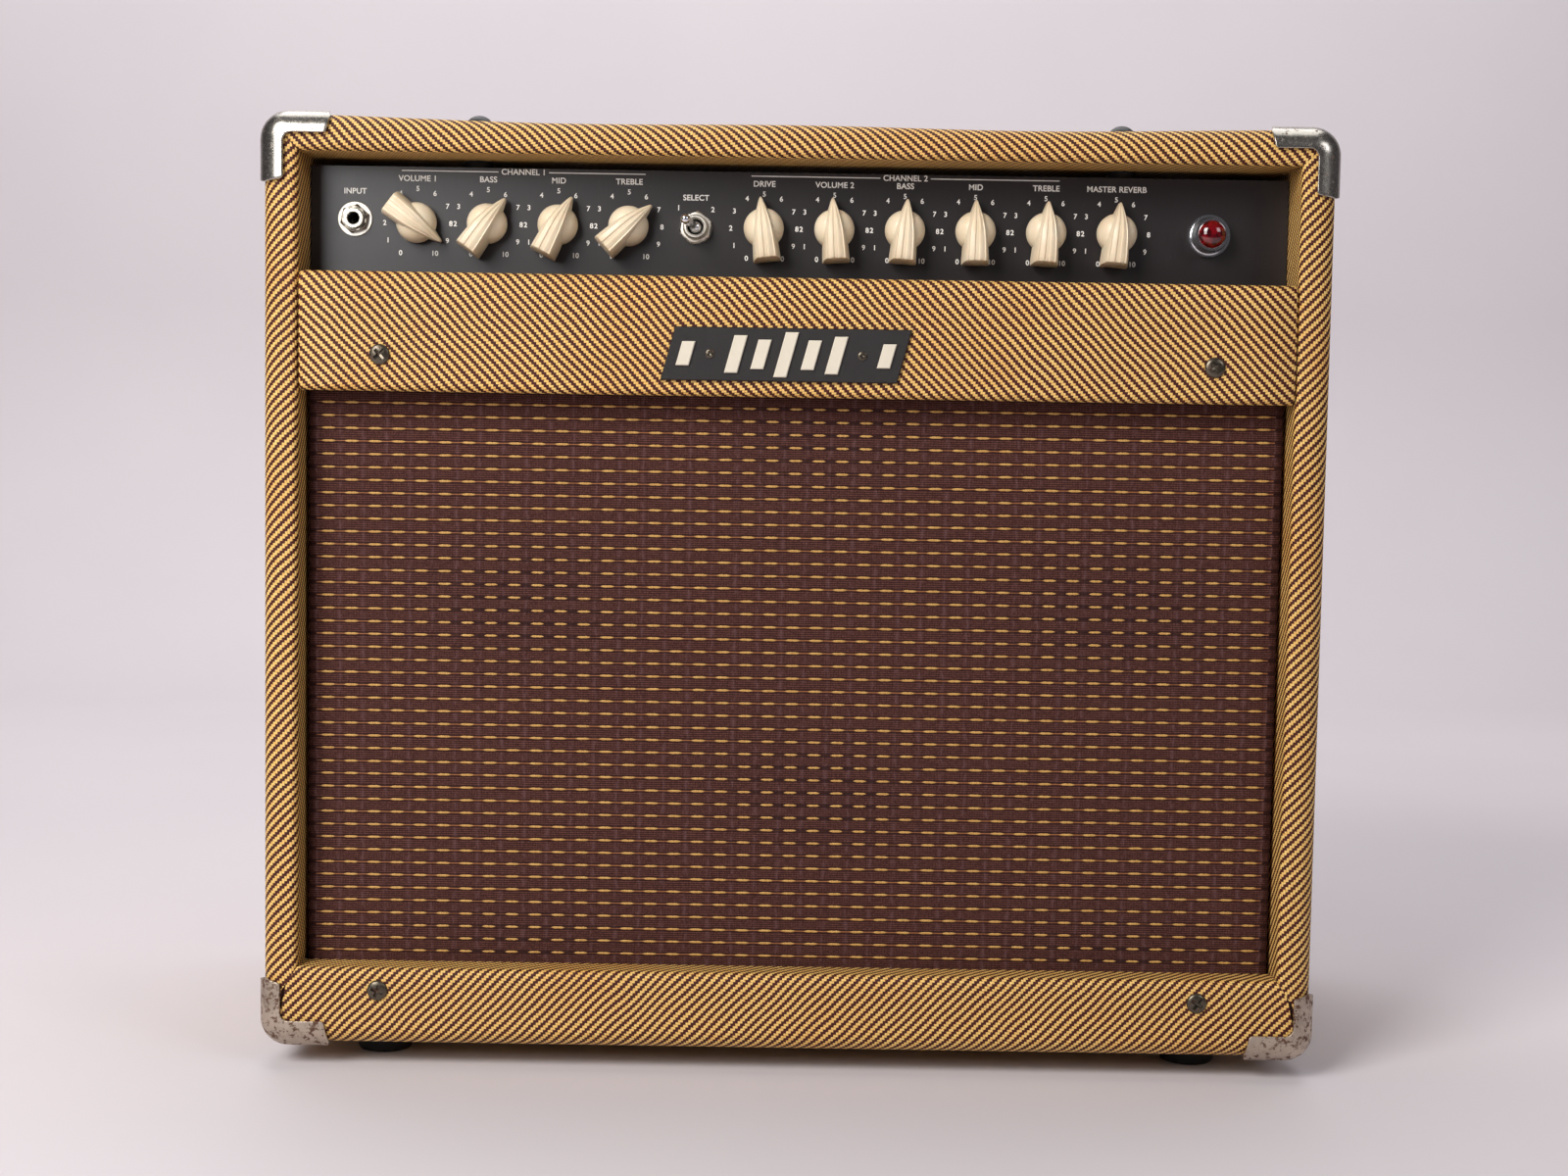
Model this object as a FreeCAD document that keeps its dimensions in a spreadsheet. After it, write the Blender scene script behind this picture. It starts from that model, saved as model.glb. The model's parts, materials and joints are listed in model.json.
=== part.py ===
"""Combo guitar amplifier with one 12-inch loudspeaker, in millimetres.

The row frame has +Z up and the front of the cabinet facing -Y.  Its origin is on the floor under the
centre of the whole amplifier.  Places along Y are written as depths behind the front face of the
cabinet, because everything in it is hung from that face.
"""

import FreeCAD
import Part
import math
import os
import Sketcher

DIMENSIONS = {
    # Cabinet
    "cabinet_width": 521,
    "cabinet_depth": 254,
    "cabinet_height": 457,
    "board": 17.5,
    "corner_radius": 12,
    "edge_radius": 9.5,
    "finger_count": 10,
    "protector_skin": 1.5,
    "protector_leg": 33.5,
    "protector_strip": 10.5,
    "foot_height": 12,
    "foot_top_radius": 16,
    "foot_bottom_radius": 13.5,
    "foot_inset_x": 54,
    "foot_inset_y": 43,
    # Front of the cabinet
    "rail_top": 51,
    "panel_bottom": 336,
    "panel_top": 394,
    "side_gap": 0.5,
    "cloth_thickness": 1,
    "cloth_low": 45,
    "cloth_high": 345,
    "baffle_thickness": 12,
    "baffle_top": 376,
    "front_screw_x": 203,
    "front_screw_low": 40,
    "front_screw_high": 351,
    "front_screw_head": 5,
    "front_screw_proud": 2,
    "front_screw_shank": 2.1,
    "front_screw_hole": 2.15,
    "front_screw_length": 29,
    "board_round": 3.5,
    "badge_x": -5.5,
    "badge_z": 356.5,
    "badge_width": 122,
    "badge_height": 26,
    "badge_plate_thickness": 2.2,
    "badge_motif_thickness": 1,
    "badge_slant": 7,
    "badge_screw_spacing": 74,
    "badge_bar_half_width": 3.2,
    "badge_bar_pitch": 12.2,
    "cleat_width": 18,
    # Chassis and control panel
    "panel_depth": 28.2,
    "plate": 1.5,
    "panel_low": 378,
    "panel_high": 447.5,
    "chassis_floor": 381,
    "chassis_top": 446,
    "chassis_half_width": 236,
    "chassis_back": 227,
    "chassis_lip": 18,
    "control_z": 419.7,
    "knob_pitch": 34.95,
    "bank_one_x": -189.45,
    "bank_two_x": -17.6,
    "input_x": -220.5,
    "input_z": 421.4,
    "select_x": -51.4,
    "lamp_x": 203.3,
    "bushing_radius": 4.75,
    "toggle_bushing_radius": 5.95,
    "lamp_hole_radius": 8.6,
    "hole_clearance": 0.1,
    "jack_bore": 3.2,
    "bushing_stand": 5.5,
    "shaft_radius": 3,
    "shaft_clearance": 0.06,
    "pot_radius": 12,
    "pot_length": 11.5,
    "knob_radius": 10.2,
    "knob_tip": 14.8,
    "knob_tail": 16.8,
    "knob_tail_width": 13.7,
    "knob_base_gap": 3,
    "knob_body_height": 12,
    "knob_height": 15,
    "chassis_bolt_x": 160.5,
    "chassis_bolt_front": 39,
    "chassis_bolt_back": 212,
    "bolt_shank": 2.5,
    "bolt_hole": 2.6,
    "bolt_washer_radius": 8.5,
    "bolt_washer": 1.2,
    "bolt_head_radius": 7,
    "bolt_head_rise": 4.3,
    # Panel fasteners and the pilot lamp
    "washer": 0.6,
    "small_nut_flats": 12.7,
    "toggle_nut_flats": 14.3,
    "lamp_flange_radius": 10.4,
    "lamp_flange": 2.2,
    "lamp_collar_reach": 9.8,
    "jewel_radius": 6.8,
    "jewel_rise": 3.8,
    # Toggle switches
    "select_lever_length": 21,
    "lever_length": 17.5,
    "lever_lean": 15,
    "select_tilt": 28,
    "lever_tip_radius": 2.4,
    "lever_neck_radius": 1.4,
    "lever_ball_radius": 3.2,
    "lever_socket_radius": 3.9,
    # Loudspeaker
    "speaker_z": 196,
    "speaker_radius": 154.5,
    "speaker_hole": 141.5,
    "speaker_bolt_circle": 148,
    "basket_back": 110,
    "basket_waist": 62,
    "basket_wall": 2,
    "basket_shoulder": 8,
    "basket_arm_width": 36,
    "basket_seat_hole": 40,
    "cone_radius": 128,
    "cone_front": 36,
    "cone_back": 84,
    "coil_radius": 25.6,
    "magnet_radius": 74,
    "magnet_gap_radius": 26.6,
    "magnet_plate": 7,
    "magnet_ring": 22,
    "magnet_pole_radius": 24,
    "surround_width": 4,
    "spider_depth": 92,
    "spider_radius": 78,
    # Back of the cabinet
    "back_recess": 12,
    "back_board": 8,
    "back_low_top": 150,
    "back_high_bottom": 290,
    "back_high_top": 378,
    "back_screw_shank": 1.7,
    # Handle
    "strap_width": 26,
    "strap_thickness": 4.5,
    "strap_half_length": 118,
    "strap_rise": 10,
    "strap_seat": 0.5,
    "strap_screw_inset": 11,
    "cap_width": 34,
    "cap_height": 8.5,
    "cap_channel_width": 26.6,
    "cap_channel_height": 5.3,
    "cap_wall": 5,
    # Electronics
    "power_valve_radius": 10.9,
    "power_valve_length": 66,
    "preamp_valve_radius": 9.9,
    "preamp_valve_length": 44,
    "valve_pin_circle": 8.5,
    "valve_socket_height": 7,
    "circuit_board_half": 200,
    "circuit_board_depth": 110,
    "standoff": 10,
    "tank_half_length": 212,
    "tank_depth": 108,
    "tank_height": 33,
    "tank_wall": 1.2,
}

DOC = FreeCAD.newDocument("guitar_amplifier")
SHEET = DOC.addObject("Spreadsheet::Sheet", "Dimensions")
UP = FreeCAD.Vector(0, 0, 1)
TURNS = {
    "+Z": FreeCAD.Rotation(),
    "-Z": FreeCAD.Rotation(FreeCAD.Vector(1, 0, 0), 180),
    "+X": FreeCAD.Rotation(FreeCAD.Vector(0, 1, 0), 90),
    "+Y": FreeCAD.Rotation(FreeCAD.Vector(1, 0, 0), -90),
    "-Y": FreeCAD.Rotation(FreeCAD.Vector(1, 0, 0), 90),
}
NODES = []


class Size:
    """A length that carries its value and the sheet expression it comes from."""

    def __init__(self, value, text):
        self.value = float(value)
        self.text = text

    def __add__(self, other):
        other = as_size(other)
        return Size(self.value + other.value, f"({self.text} + {other.text})")

    def __sub__(self, other):
        other = as_size(other)
        return Size(self.value - other.value, f"({self.text} - {other.text})")

    def __mul__(self, other):
        other = as_size(other)
        return Size(self.value * other.value, f"({self.text} * {other.text})")

    def __truediv__(self, other):
        other = as_size(other)
        return Size(self.value / other.value, f"({self.text} / {other.text})")

    def __neg__(self):
        return Size(-self.value, f"(0 - {self.text})")

    def __radd__(self, other):
        return as_size(other) + self

    def __rsub__(self, other):
        return as_size(other) - self

    def __rmul__(self, other):
        return as_size(other) * self


def as_size(number):
    """Return number as a Size, whether it is one already or a plain number."""
    if isinstance(number, Size):
        return number
    return Size(number, f"({float(number):.6f})")


class Sizes:
    """The sheet's cells as Size attributes."""

    def __init__(self, cells):
        for row, (alias, value) in enumerate(cells.items(), start=1):
            SHEET.set(f"A{row}", alias)
            SHEET.set(f"B{row}", str(value))
            SHEET.setAlias(f"B{row}", alias)
            setattr(self, alias, Size(value, f"Dimensions.{alias}"))


d = Sizes(DIMENSIONS)
DOC.recompute()

# The badge stands proud of the front and the corner protectors stand proud of the back.  The origin
# lies half way between the two.
BADGE_PROUD = d.badge_plate_thickness + d.badge_motif_thickness
FRONT_Y = (BADGE_PROUD - d.protector_skin - d.cabinet_depth) / 2
BACK_Y = FRONT_Y + d.cabinet_depth
CABINET_BOTTOM = d.foot_height
CABINET_TOP = d.foot_height + d.cabinet_height
HALF_WIDTH = d.cabinet_width / 2
INNER_X = HALF_WIDTH - d.board
INNER_BOTTOM = CABINET_BOTTOM + d.board
INNER_TOP = CABINET_TOP - d.board


def at_depth(depth):
    """Return the Y of a place that is depth behind the cabinet's front face."""
    return FRONT_Y + depth


def bind(thing, prop, size):
    """Tie a property to the sheet."""
    thing.setExpression(prop, as_size(size).text)


def place(thing, x, y, z, turn=None):
    """Put an object at a place in the row frame, turned by a rotation."""
    thing.Placement = FreeCAD.Placement(FreeCAD.Vector(), turn or FreeCAD.Rotation())
    bind(thing, ".Placement.Base.x", x)
    bind(thing, ".Placement.Base.y", y)
    bind(thing, ".Placement.Base.z", z)
    return thing


def box(name, x, y, z, length, width, height):
    """A block with its lowest corner at x, y, z."""
    block = DOC.addObject("Part::Box", name)
    bind(block, "Length", length)
    bind(block, "Width", width)
    bind(block, "Height", height)
    return place(block, x, y, z)


def centred_box(name, x, y, z, length, width, height):
    """A block centred on x and z that starts at y."""
    return box(name, x - as_size(length) / 2, y, z - as_size(height) / 2, length, width, height)


def cylinder(name, axis, x, y, z, radius, height):
    """A rod from x, y, z along axis."""
    rod = DOC.addObject("Part::Cylinder", name)
    bind(rod, "Radius", radius)
    bind(rod, "Height", height)
    return place(rod, x, y, z, TURNS[axis])


def cone(name, axis, x, y, z, start_radius, end_radius, height):
    """A tapered rod from x, y, z along axis, which is a name in TURNS or a rotation."""
    taper = DOC.addObject("Part::Cone", name)
    bind(taper, "Radius1", start_radius)
    bind(taper, "Radius2", end_radius)
    bind(taper, "Height", height)
    return place(taper, x, y, z, TURNS[axis] if isinstance(axis, str) else axis)


def ball(name, x, y, z, radius, turn):
    """A ball centred on x, y, z with its poles along the turned axis."""
    sphere = DOC.addObject("Part::Sphere", name)
    bind(sphere, "Radius", radius)
    return place(sphere, x, y, z, turn)


def dome(name, axis, x, y, z, base_radius, rise):
    """A shallow cap of a ball that stands on x, y, z and rises along axis."""
    rise = as_size(rise)
    base_radius = as_size(base_radius)
    radius = (base_radius * base_radius + rise * rise) / (2 * rise)
    below = radius - rise
    direction = TURNS[axis].multVec(UP)
    cap = DOC.addObject("Part::Sphere", name)
    bind(cap, "Radius", radius)
    cap.Angle1 = math.degrees(math.asin(below.value / radius.value))
    x = x - below * round(direction.x)
    y = y - below * round(direction.y)
    z = z - below * round(direction.z)
    return place(cap, x, y, z, TURNS[axis])


def hexagon(name, axis, x, y, z, across_flats, height):
    """A six-sided nut blank."""
    nut = DOC.addObject("Part::Prism", name)
    nut.Polygon = 6
    bind(nut, "Circumradius", as_size(across_flats) / math.sqrt(3))
    bind(nut, "Height", height)
    return place(nut, x, y, z, TURNS[axis])


def fuse(name, pieces):
    """Join pieces into one solid."""
    joined = DOC.addObject("Part::MultiFuse", name)
    joined.Shapes = pieces
    joined.Refine = True
    return joined


def cut(name, base, tools):
    """Take tools away from base."""
    result = DOC.addObject("Part::Cut", name)
    result.Base = base
    result.Tool = tools[0] if len(tools) == 1 else fuse(name + "_tools", tools)
    return result


def common(name, first, second):
    """Keep what two objects share."""
    result = DOC.addObject("Part::Common", name)
    result.Base = first
    result.Tool = second
    return result


def group(name, pieces):
    """Keep several solids apart in one object."""
    compound = DOC.addObject("Part::Compound", name)
    compound.Links = pieces
    return compound


def node(label, thing):
    """Name an object as a sub-part that is written to its own file."""
    thing.Label = label
    NODES.append(thing)
    return thing


def ring(name, axis, x, y, z, outer, inner, height):
    """A flat ring or a tube."""
    return cut(
        name,
        cylinder(name + "_outer", axis, x, y, z, outer, height),
        [cylinder(name + "_bore", axis, x, y, z, inner, height)],
    )


def rounded_box(name, grow):
    """The cabinet's outer block, larger by grow on each side, with all its edges rounded."""
    block = box(
        name + "_block",
        -HALF_WIDTH - grow,
        FRONT_Y - grow,
        CABINET_BOTTOM - grow,
        d.cabinet_width + 2 * as_size(grow),
        d.cabinet_depth + 2 * as_size(grow),
        d.cabinet_height + 2 * as_size(grow),
    )
    DOC.recompute()
    corner = (d.corner_radius + grow).value
    posts = DOC.addObject("Part::Fillet", name + "_corners")
    posts.Base = block
    posts.Edges = [(i, corner, corner) for i, edge in enumerate(block.Shape.Edges, 1)
                   if edge.BoundBox.YLength > edge.BoundBox.XLength + edge.BoundBox.ZLength]
    DOC.recompute()
    rim = (d.edge_radius + grow).value
    rounded = DOC.addObject("Part::Fillet", name)
    rounded.Base = posts
    rounded.Edges = [(i, rim, rim) for i, edge in enumerate(posts.Shape.Edges, 1)
                     if edge.BoundBox.YLength < 0.001]
    DOC.recompute()
    return rounded


def cabinet_corner_fingers(name, take_even, x_signs):
    """The finger blocks at the corners that belong to the sides or to the top and bottom."""
    pitch = d.cabinet_depth / d.finger_count
    blocks = []
    for x_sign in x_signs:
        x = INNER_X if x_sign > 0 else -HALF_WIDTH
        for level, z in (("low", CABINET_BOTTOM), ("high", INNER_TOP)):
            for k in range(DIMENSIONS["finger_count"]):
                if (k % 2 == 0) == take_even:
                    block = box(f"{name}_{level}_{x_sign + 1}_{k}", x, at_depth(pitch * k), z,
                                d.board, pitch, d.board)
                    blocks.append((level, block))
    return blocks


def make_cabinet():
    """Four finger-jointed boards with a rounded outside, and the corner protectors round them."""
    outside = rounded_box("cabinet_outside", as_size(0))
    inside = box("cabinet_inside", -INNER_X, FRONT_Y - 1, INNER_BOTTOM,
                 2 * INNER_X, d.cabinet_depth + 2, INNER_TOP - INNER_BOTTOM)
    shell = cut("cabinet_shell", outside, [inside])
    for side, sign, x in (("left", -1, -HALF_WIDTH), ("right", 1, INNER_X)):
        web = box(f"side_web_{side}", x, FRONT_Y, INNER_BOTTOM, d.board, d.cabinet_depth,
                  INNER_TOP - INNER_BOTTOM)
        fingers = [block for _, block in cabinet_corner_fingers(f"side_{side}", True, [sign])]
        region = fuse(f"side_region_{side}", [web] + fingers)
        node(f"side_board_{side}", common(f"side_{side}", shell, region))
    fingers = cabinet_corner_fingers("flat", False, [-1, 1])
    for name, level, z in (("bottom_board", "low", CABINET_BOTTOM), ("top_board", "high", INNER_TOP)):
        web = box(name + "_web", -INNER_X, FRONT_Y, z, 2 * INNER_X, d.cabinet_depth, d.board)
        region = fuse(name + "_region", [web] + [block for where, block in fingers if where == level])
        board = common(name + "_solid", shell, region)
        if name == "top_board":
            board = cut(name + "_drilled", board,
                        chassis_bolt_rods("top_hole", d.bolt_hole, INNER_TOP, d.board))
        node(name, board)

    skin = cut("protector_skin_shell", rounded_box("protector_outside", d.protector_skin), [outside])
    far_x = HALF_WIDTH + d.protector_skin
    far_back = BACK_Y + d.protector_skin
    far_top = CABINET_TOP + d.protector_skin
    reach = d.protector_leg + d.protector_skin
    strip = d.protector_strip + d.protector_skin
    legs = []
    for x_sign in (-1, 1):
        for y_end in (0, 1):
            for z_end in (0, 1):
                for axis in range(3):
                    span = [reach if axis == i else strip for i in range(3)]
                    x = far_x - span[0] if x_sign > 0 else -far_x
                    y = far_back - span[1] if y_end else FRONT_Y - d.protector_skin
                    z = far_top - span[2] if z_end else CABINET_BOTTOM - d.protector_skin
                    legs.append(box(f"protector_{x_sign + 1}_{y_end}_{z_end}_{axis}", x, y, z, *span))
    node("corner_protectors", common("protectors", skin, fuse("protector_regions", legs)))


def chassis_bolt_rods(name, radius, z, height):
    """Four upright rods where the chassis bolts go."""
    rods = []
    for x_sign in (-1, 1):
        for depth in (d.chassis_bolt_front, d.chassis_bolt_back):
            rods.append(cylinder(f"{name}_{len(rods)}", "+Z", d.chassis_bolt_x * x_sign, at_depth(depth), z,
                                 radius, height))
    return rods


def screw(name, axis, x, y, z, head_radius, proud, shank_radius, length):
    """A domed Phillips screw with its head on x, y, z; its shank goes against axis."""
    back = {"-Y": "+Y", "+Y": "-Y", "+Z": "-Z", "-Z": "+Z"}[axis]
    direction = TURNS[axis].multVec(UP)
    head = dome(name + "_head", axis, x, y, z, head_radius, proud)
    shank = cylinder(name + "_shank", back, x, y, z, shank_radius, length)
    body = fuse(name + "_body", [head, shank])
    slot_width = as_size(head_radius) * 0.24
    slot_length = as_size(head_radius) * 1.1
    bars = []
    for turn in (0, 90):
        bar = DOC.addObject("Part::Box", f"{name}_slot_{turn}")
        bind(bar, "Length", slot_length)
        bind(bar, "Width", slot_width)
        bind(bar, "Height", proud)
        rotation = TURNS[axis] * FreeCAD.Rotation(UP, turn)
        start = rotation.multVec(FreeCAD.Vector(-slot_length.value / 2, -slot_width.value / 2, 0))
        depth = as_size(proud).value * 0.35
        place(bar, x + (start.x + direction.x * depth), y + (start.y + direction.y * depth),
              z + (start.z + direction.z * depth), rotation)
        bars.append(bar)
    return cut(name, body, bars)


def front_screw_places():
    """The four places of the screws that hold the front boards."""
    return [(d.front_screw_x * sign, z) for z in (d.front_screw_low, d.front_screw_high)
            for sign in (-1, 1)]


def front_board(name, z, height):
    """A board across the front of the opening, rounded on its front edges and drilled for screws."""
    low = z.value
    high = (z + height).value
    body = DOC.addObject("PartDesign::Body", name + "_body")
    place(body, 0, FRONT_Y, z)
    half = INNER_X - d.side_gap
    depth = d.board
    outline = sketch(body, name + "_outline", "XY_Plane",
                     [(-half, 0), (half, 0), (half, depth), (-half, depth)])
    slab = pad(body, name + "_slab", outline, height)
    round_edges(body, name + "_rounded", slab, d.board_round,
                lambda bounds: bounds.YMax < 0.001 and bounds.XLength > 100
                and not (name == "lower_front_rail" and bounds.ZMax < 0.001))
    holes = [cylinder(f"{name}_hole_{i}", "+Y", x, FRONT_Y - 1, z_screw, d.front_screw_hole, d.board + 2)
             for i, (x, z_screw) in enumerate(front_screw_places()) if low < z_screw.value < high]
    return cut(name + "_drilled", body, holes)


def sketch(body, name, plane_role, points):
    """A closed outline of straight lines whose corners are tied to the sheet."""
    drawing = body.newObject("Sketcher::SketchObject", name)
    plane = [feature for feature in body.Origin.OriginFeatures if feature.Role == plane_role][0]
    drawing.AttachmentSupport = [(plane, "")]
    drawing.MapMode = "FlatFace"
    corners = [(as_size(u), as_size(v)) for u, v in points]
    count = len(corners)
    for i, (u, v) in enumerate(corners):
        end_u, end_v = corners[(i + 1) % count]
        start = FreeCAD.Vector(u.value, v.value, 0)
        end = FreeCAD.Vector(end_u.value, end_v.value, 0)
        drawing.addGeometry(Part.LineSegment(start, end), False)
    for i, (u, v) in enumerate(corners):
        drawing.addConstraint(Sketcher.Constraint("Coincident", i, 2, (i + 1) % count, 1))
        for kind, size in (("DistanceX", u), ("DistanceY", v)):
            index = drawing.addConstraint(Sketcher.Constraint(kind, -1, 1, i, 1, size.value))
            drawing.setExpression(f"Constraints[{index}]", size.text)
    return drawing


def pad(body, name, drawing, length):
    """Extrude a sketch."""
    feature = body.newObject("PartDesign::Pad", name)
    feature.Profile = drawing
    bind(feature, "Length", length)
    DOC.recompute()
    return feature


def round_edges(body, name, base, radius, wanted):
    """Round the edges of a feature whose bounds pass a test."""
    feature = body.newObject("PartDesign::Fillet", name)
    names = [f"Edge{i}" for i, edge in enumerate(base.Shape.Edges, 1) if wanted(edge.BoundBox)]
    feature.Base = (base, names)
    bind(feature, "Radius", radius)
    DOC.recompute()
    return feature


def make_front():
    """Rail, upper panel, baffle, grille cloth, badge, screws and the cleats behind them."""
    node("lower_front_rail", front_board("lower_front_rail", INNER_BOTTOM, d.rail_top - INNER_BOTTOM))
    panel_height = d.panel_top - d.panel_bottom
    node("upper_front_panel", front_board("upper_front_panel", d.panel_bottom, panel_height))

    half = INNER_X - 2
    cloth_y = at_depth(d.board)
    node("grille_cloth", box("cloth", -half, cloth_y, d.cloth_low, 2 * half, d.cloth_thickness,
                             d.cloth_high - d.cloth_low))
    baffle_y = cloth_y + d.cloth_thickness
    board = box("baffle_slab", -half, baffle_y, INNER_BOTTOM + 1, 2 * half, d.baffle_thickness,
                d.baffle_top - INNER_BOTTOM - 1)
    before = baffle_y - 1
    through = d.baffle_thickness + 2
    holes = [cylinder("baffle_opening", "+Y", 0, before, d.speaker_z, d.speaker_hole, through)]
    holes += speaker_bolt_rods("baffle_bolt_hole", d.bolt_hole, before, through)
    holes += [cylinder(f"baffle_screw_hole_{i}", "+Y", x, before, z, d.front_screw_hole, through)
              for i, (x, z) in enumerate(front_screw_places())]
    node("baffle_board", cut("baffle", board, holes))

    screws = [screw(f"front_screw_{i}", "-Y", x, FRONT_Y, z, d.front_screw_head, d.front_screw_proud,
                    d.front_screw_shank, d.front_screw_length)
              for i, (x, z) in enumerate(front_screw_places())]
    for sign in (-1, 1):
        screws.append(screw(f"badge_screw_{sign + 1}", "-Y", d.badge_x + d.badge_screw_spacing / 2 * sign,
                            FRONT_Y - d.badge_plate_thickness, d.badge_z, 2.2, 0.9, 1, 1.8))
    node("front_screws", group("front_screw_set", screws))

    node("badge_plate", make_badge_plate())
    node("badge_motif", make_badge_motif())

    low = INNER_BOTTOM + 1
    cleats = []
    back_cleat = at_depth(d.cabinet_depth - d.back_recess - d.back_board - d.cleat_width)
    for sign in (-1, 1):
        x = INNER_X - d.cleat_width if sign > 0 else -INNER_X
        for name, y in (("front", baffle_y + d.baffle_thickness), ("back", back_cleat)):
            cleats.append(box(f"cleat_{name}_{sign + 1}", x, y, low, d.cleat_width, d.cleat_width,
                              d.baffle_top - low))
    node("cabinet_cleats", group("cleats", cleats))


def slanted(half, low, high, lean):
    """The corners of a bar that leans to the right from low to high."""
    low_shift = lean * low
    high_shift = lean * high
    return [(-half + low_shift, low), (half + low_shift, low),
            (half + high_shift, high), (-half + high_shift, high)]


def badge_body(name, thickness, points, y):
    """A flat piece of the badge, extruded towards the front."""
    body = DOC.addObject("PartDesign::Body", name)
    place(body, d.badge_x, y, d.badge_z, TURNS["-Y"])
    pad(body, name + "_pad", sketch(body, name + "_outline", "XY_Plane", points), thickness)
    return body


def make_badge_plate():
    """The dark slanted plate of the badge, drilled for its two screws."""
    half_height = d.badge_height / 2
    lean = d.badge_slant / d.badge_height
    half = d.badge_width / 2 - d.badge_slant / 2
    plate = badge_body("badge_plate_body", d.badge_plate_thickness,
                       slanted(half, -half_height, half_height, lean), FRONT_Y)
    spacing = d.badge_screw_spacing
    holes = [cylinder(f"badge_hole_{sign + 1}", "+Y", d.badge_x + spacing / 2 * sign, FRONT_Y - 3, d.badge_z,
                      1.05, 4) for sign in (-1, 1)]
    return cut("badge_plate_drilled", plate, holes)


# Each bar of the badge: its place in bar pitches from the middle, and its share of the plate's height.
BADGE_BARS = ((-4, 0.45), (-2, 0.7), (-1, 0.55), (0, 0.84), (1, 0.55), (2, 0.7), (4, 0.45))


def make_badge_motif():
    """Seven raised slanted bars of falling and rising height, a plain ornament with no lettering."""
    lean = d.badge_slant / d.badge_height
    bars = []
    for i, (step, share) in enumerate(BADGE_BARS):
        half_height = d.badge_height / 2 * share
        shift = d.badge_bar_pitch * step
        points = [(u + shift, v) for u, v in slanted(d.badge_bar_half_width, -half_height, half_height, lean)]
        bars.append(badge_body(f"badge_bar_{i}", d.badge_motif_thickness, points,
                               FRONT_Y - d.badge_plate_thickness))
    return group("badge_bars", bars)


def speaker_bolt_rods(name, radius, y, height):
    """Eight rods on the loudspeaker's bolt circle."""
    rods = []
    for k in range(8):
        angle = math.radians(22.5 + 45 * k)
        rods.append(cylinder(f"{name}_{k}", "+Y", d.speaker_bolt_circle * math.cos(angle), y,
                             d.speaker_z + d.speaker_bolt_circle * math.sin(angle), radius, height))
    return rods


def basket_arms(slope_y, slope_length):
    """Six arms cut from the sloping shell that joins the front ring of the basket to its seat."""
    z = d.speaker_z
    wall = d.basket_wall
    shell = cut(
        "basket_slope",
        cone("basket_slope_outer", "+Y", 0, slope_y, z, d.speaker_hole, d.basket_waist, slope_length),
        [cone("basket_slope_inner", "+Y", 0, slope_y, z, d.speaker_hole - wall, d.basket_waist - wall,
              slope_length)],
    )
    arms = []
    for k in range(6):
        turn = FreeCAD.Rotation(FreeCAD.Vector(0, 1, 0), 60 * k)
        start = turn.multVec(FreeCAD.Vector(0, 0, -d.basket_arm_width.value / 2))
        sector = DOC.addObject("Part::Box", f"basket_sector_{k}")
        bind(sector, "Length", d.speaker_radius)
        bind(sector, "Width", slope_length - wall)
        bind(sector, "Height", d.basket_arm_width)
        place(sector, start.x, slope_y, z + start.z, turn)
        arms.append(common(f"basket_arm_{k}", shell, sector))
    return arms


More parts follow.
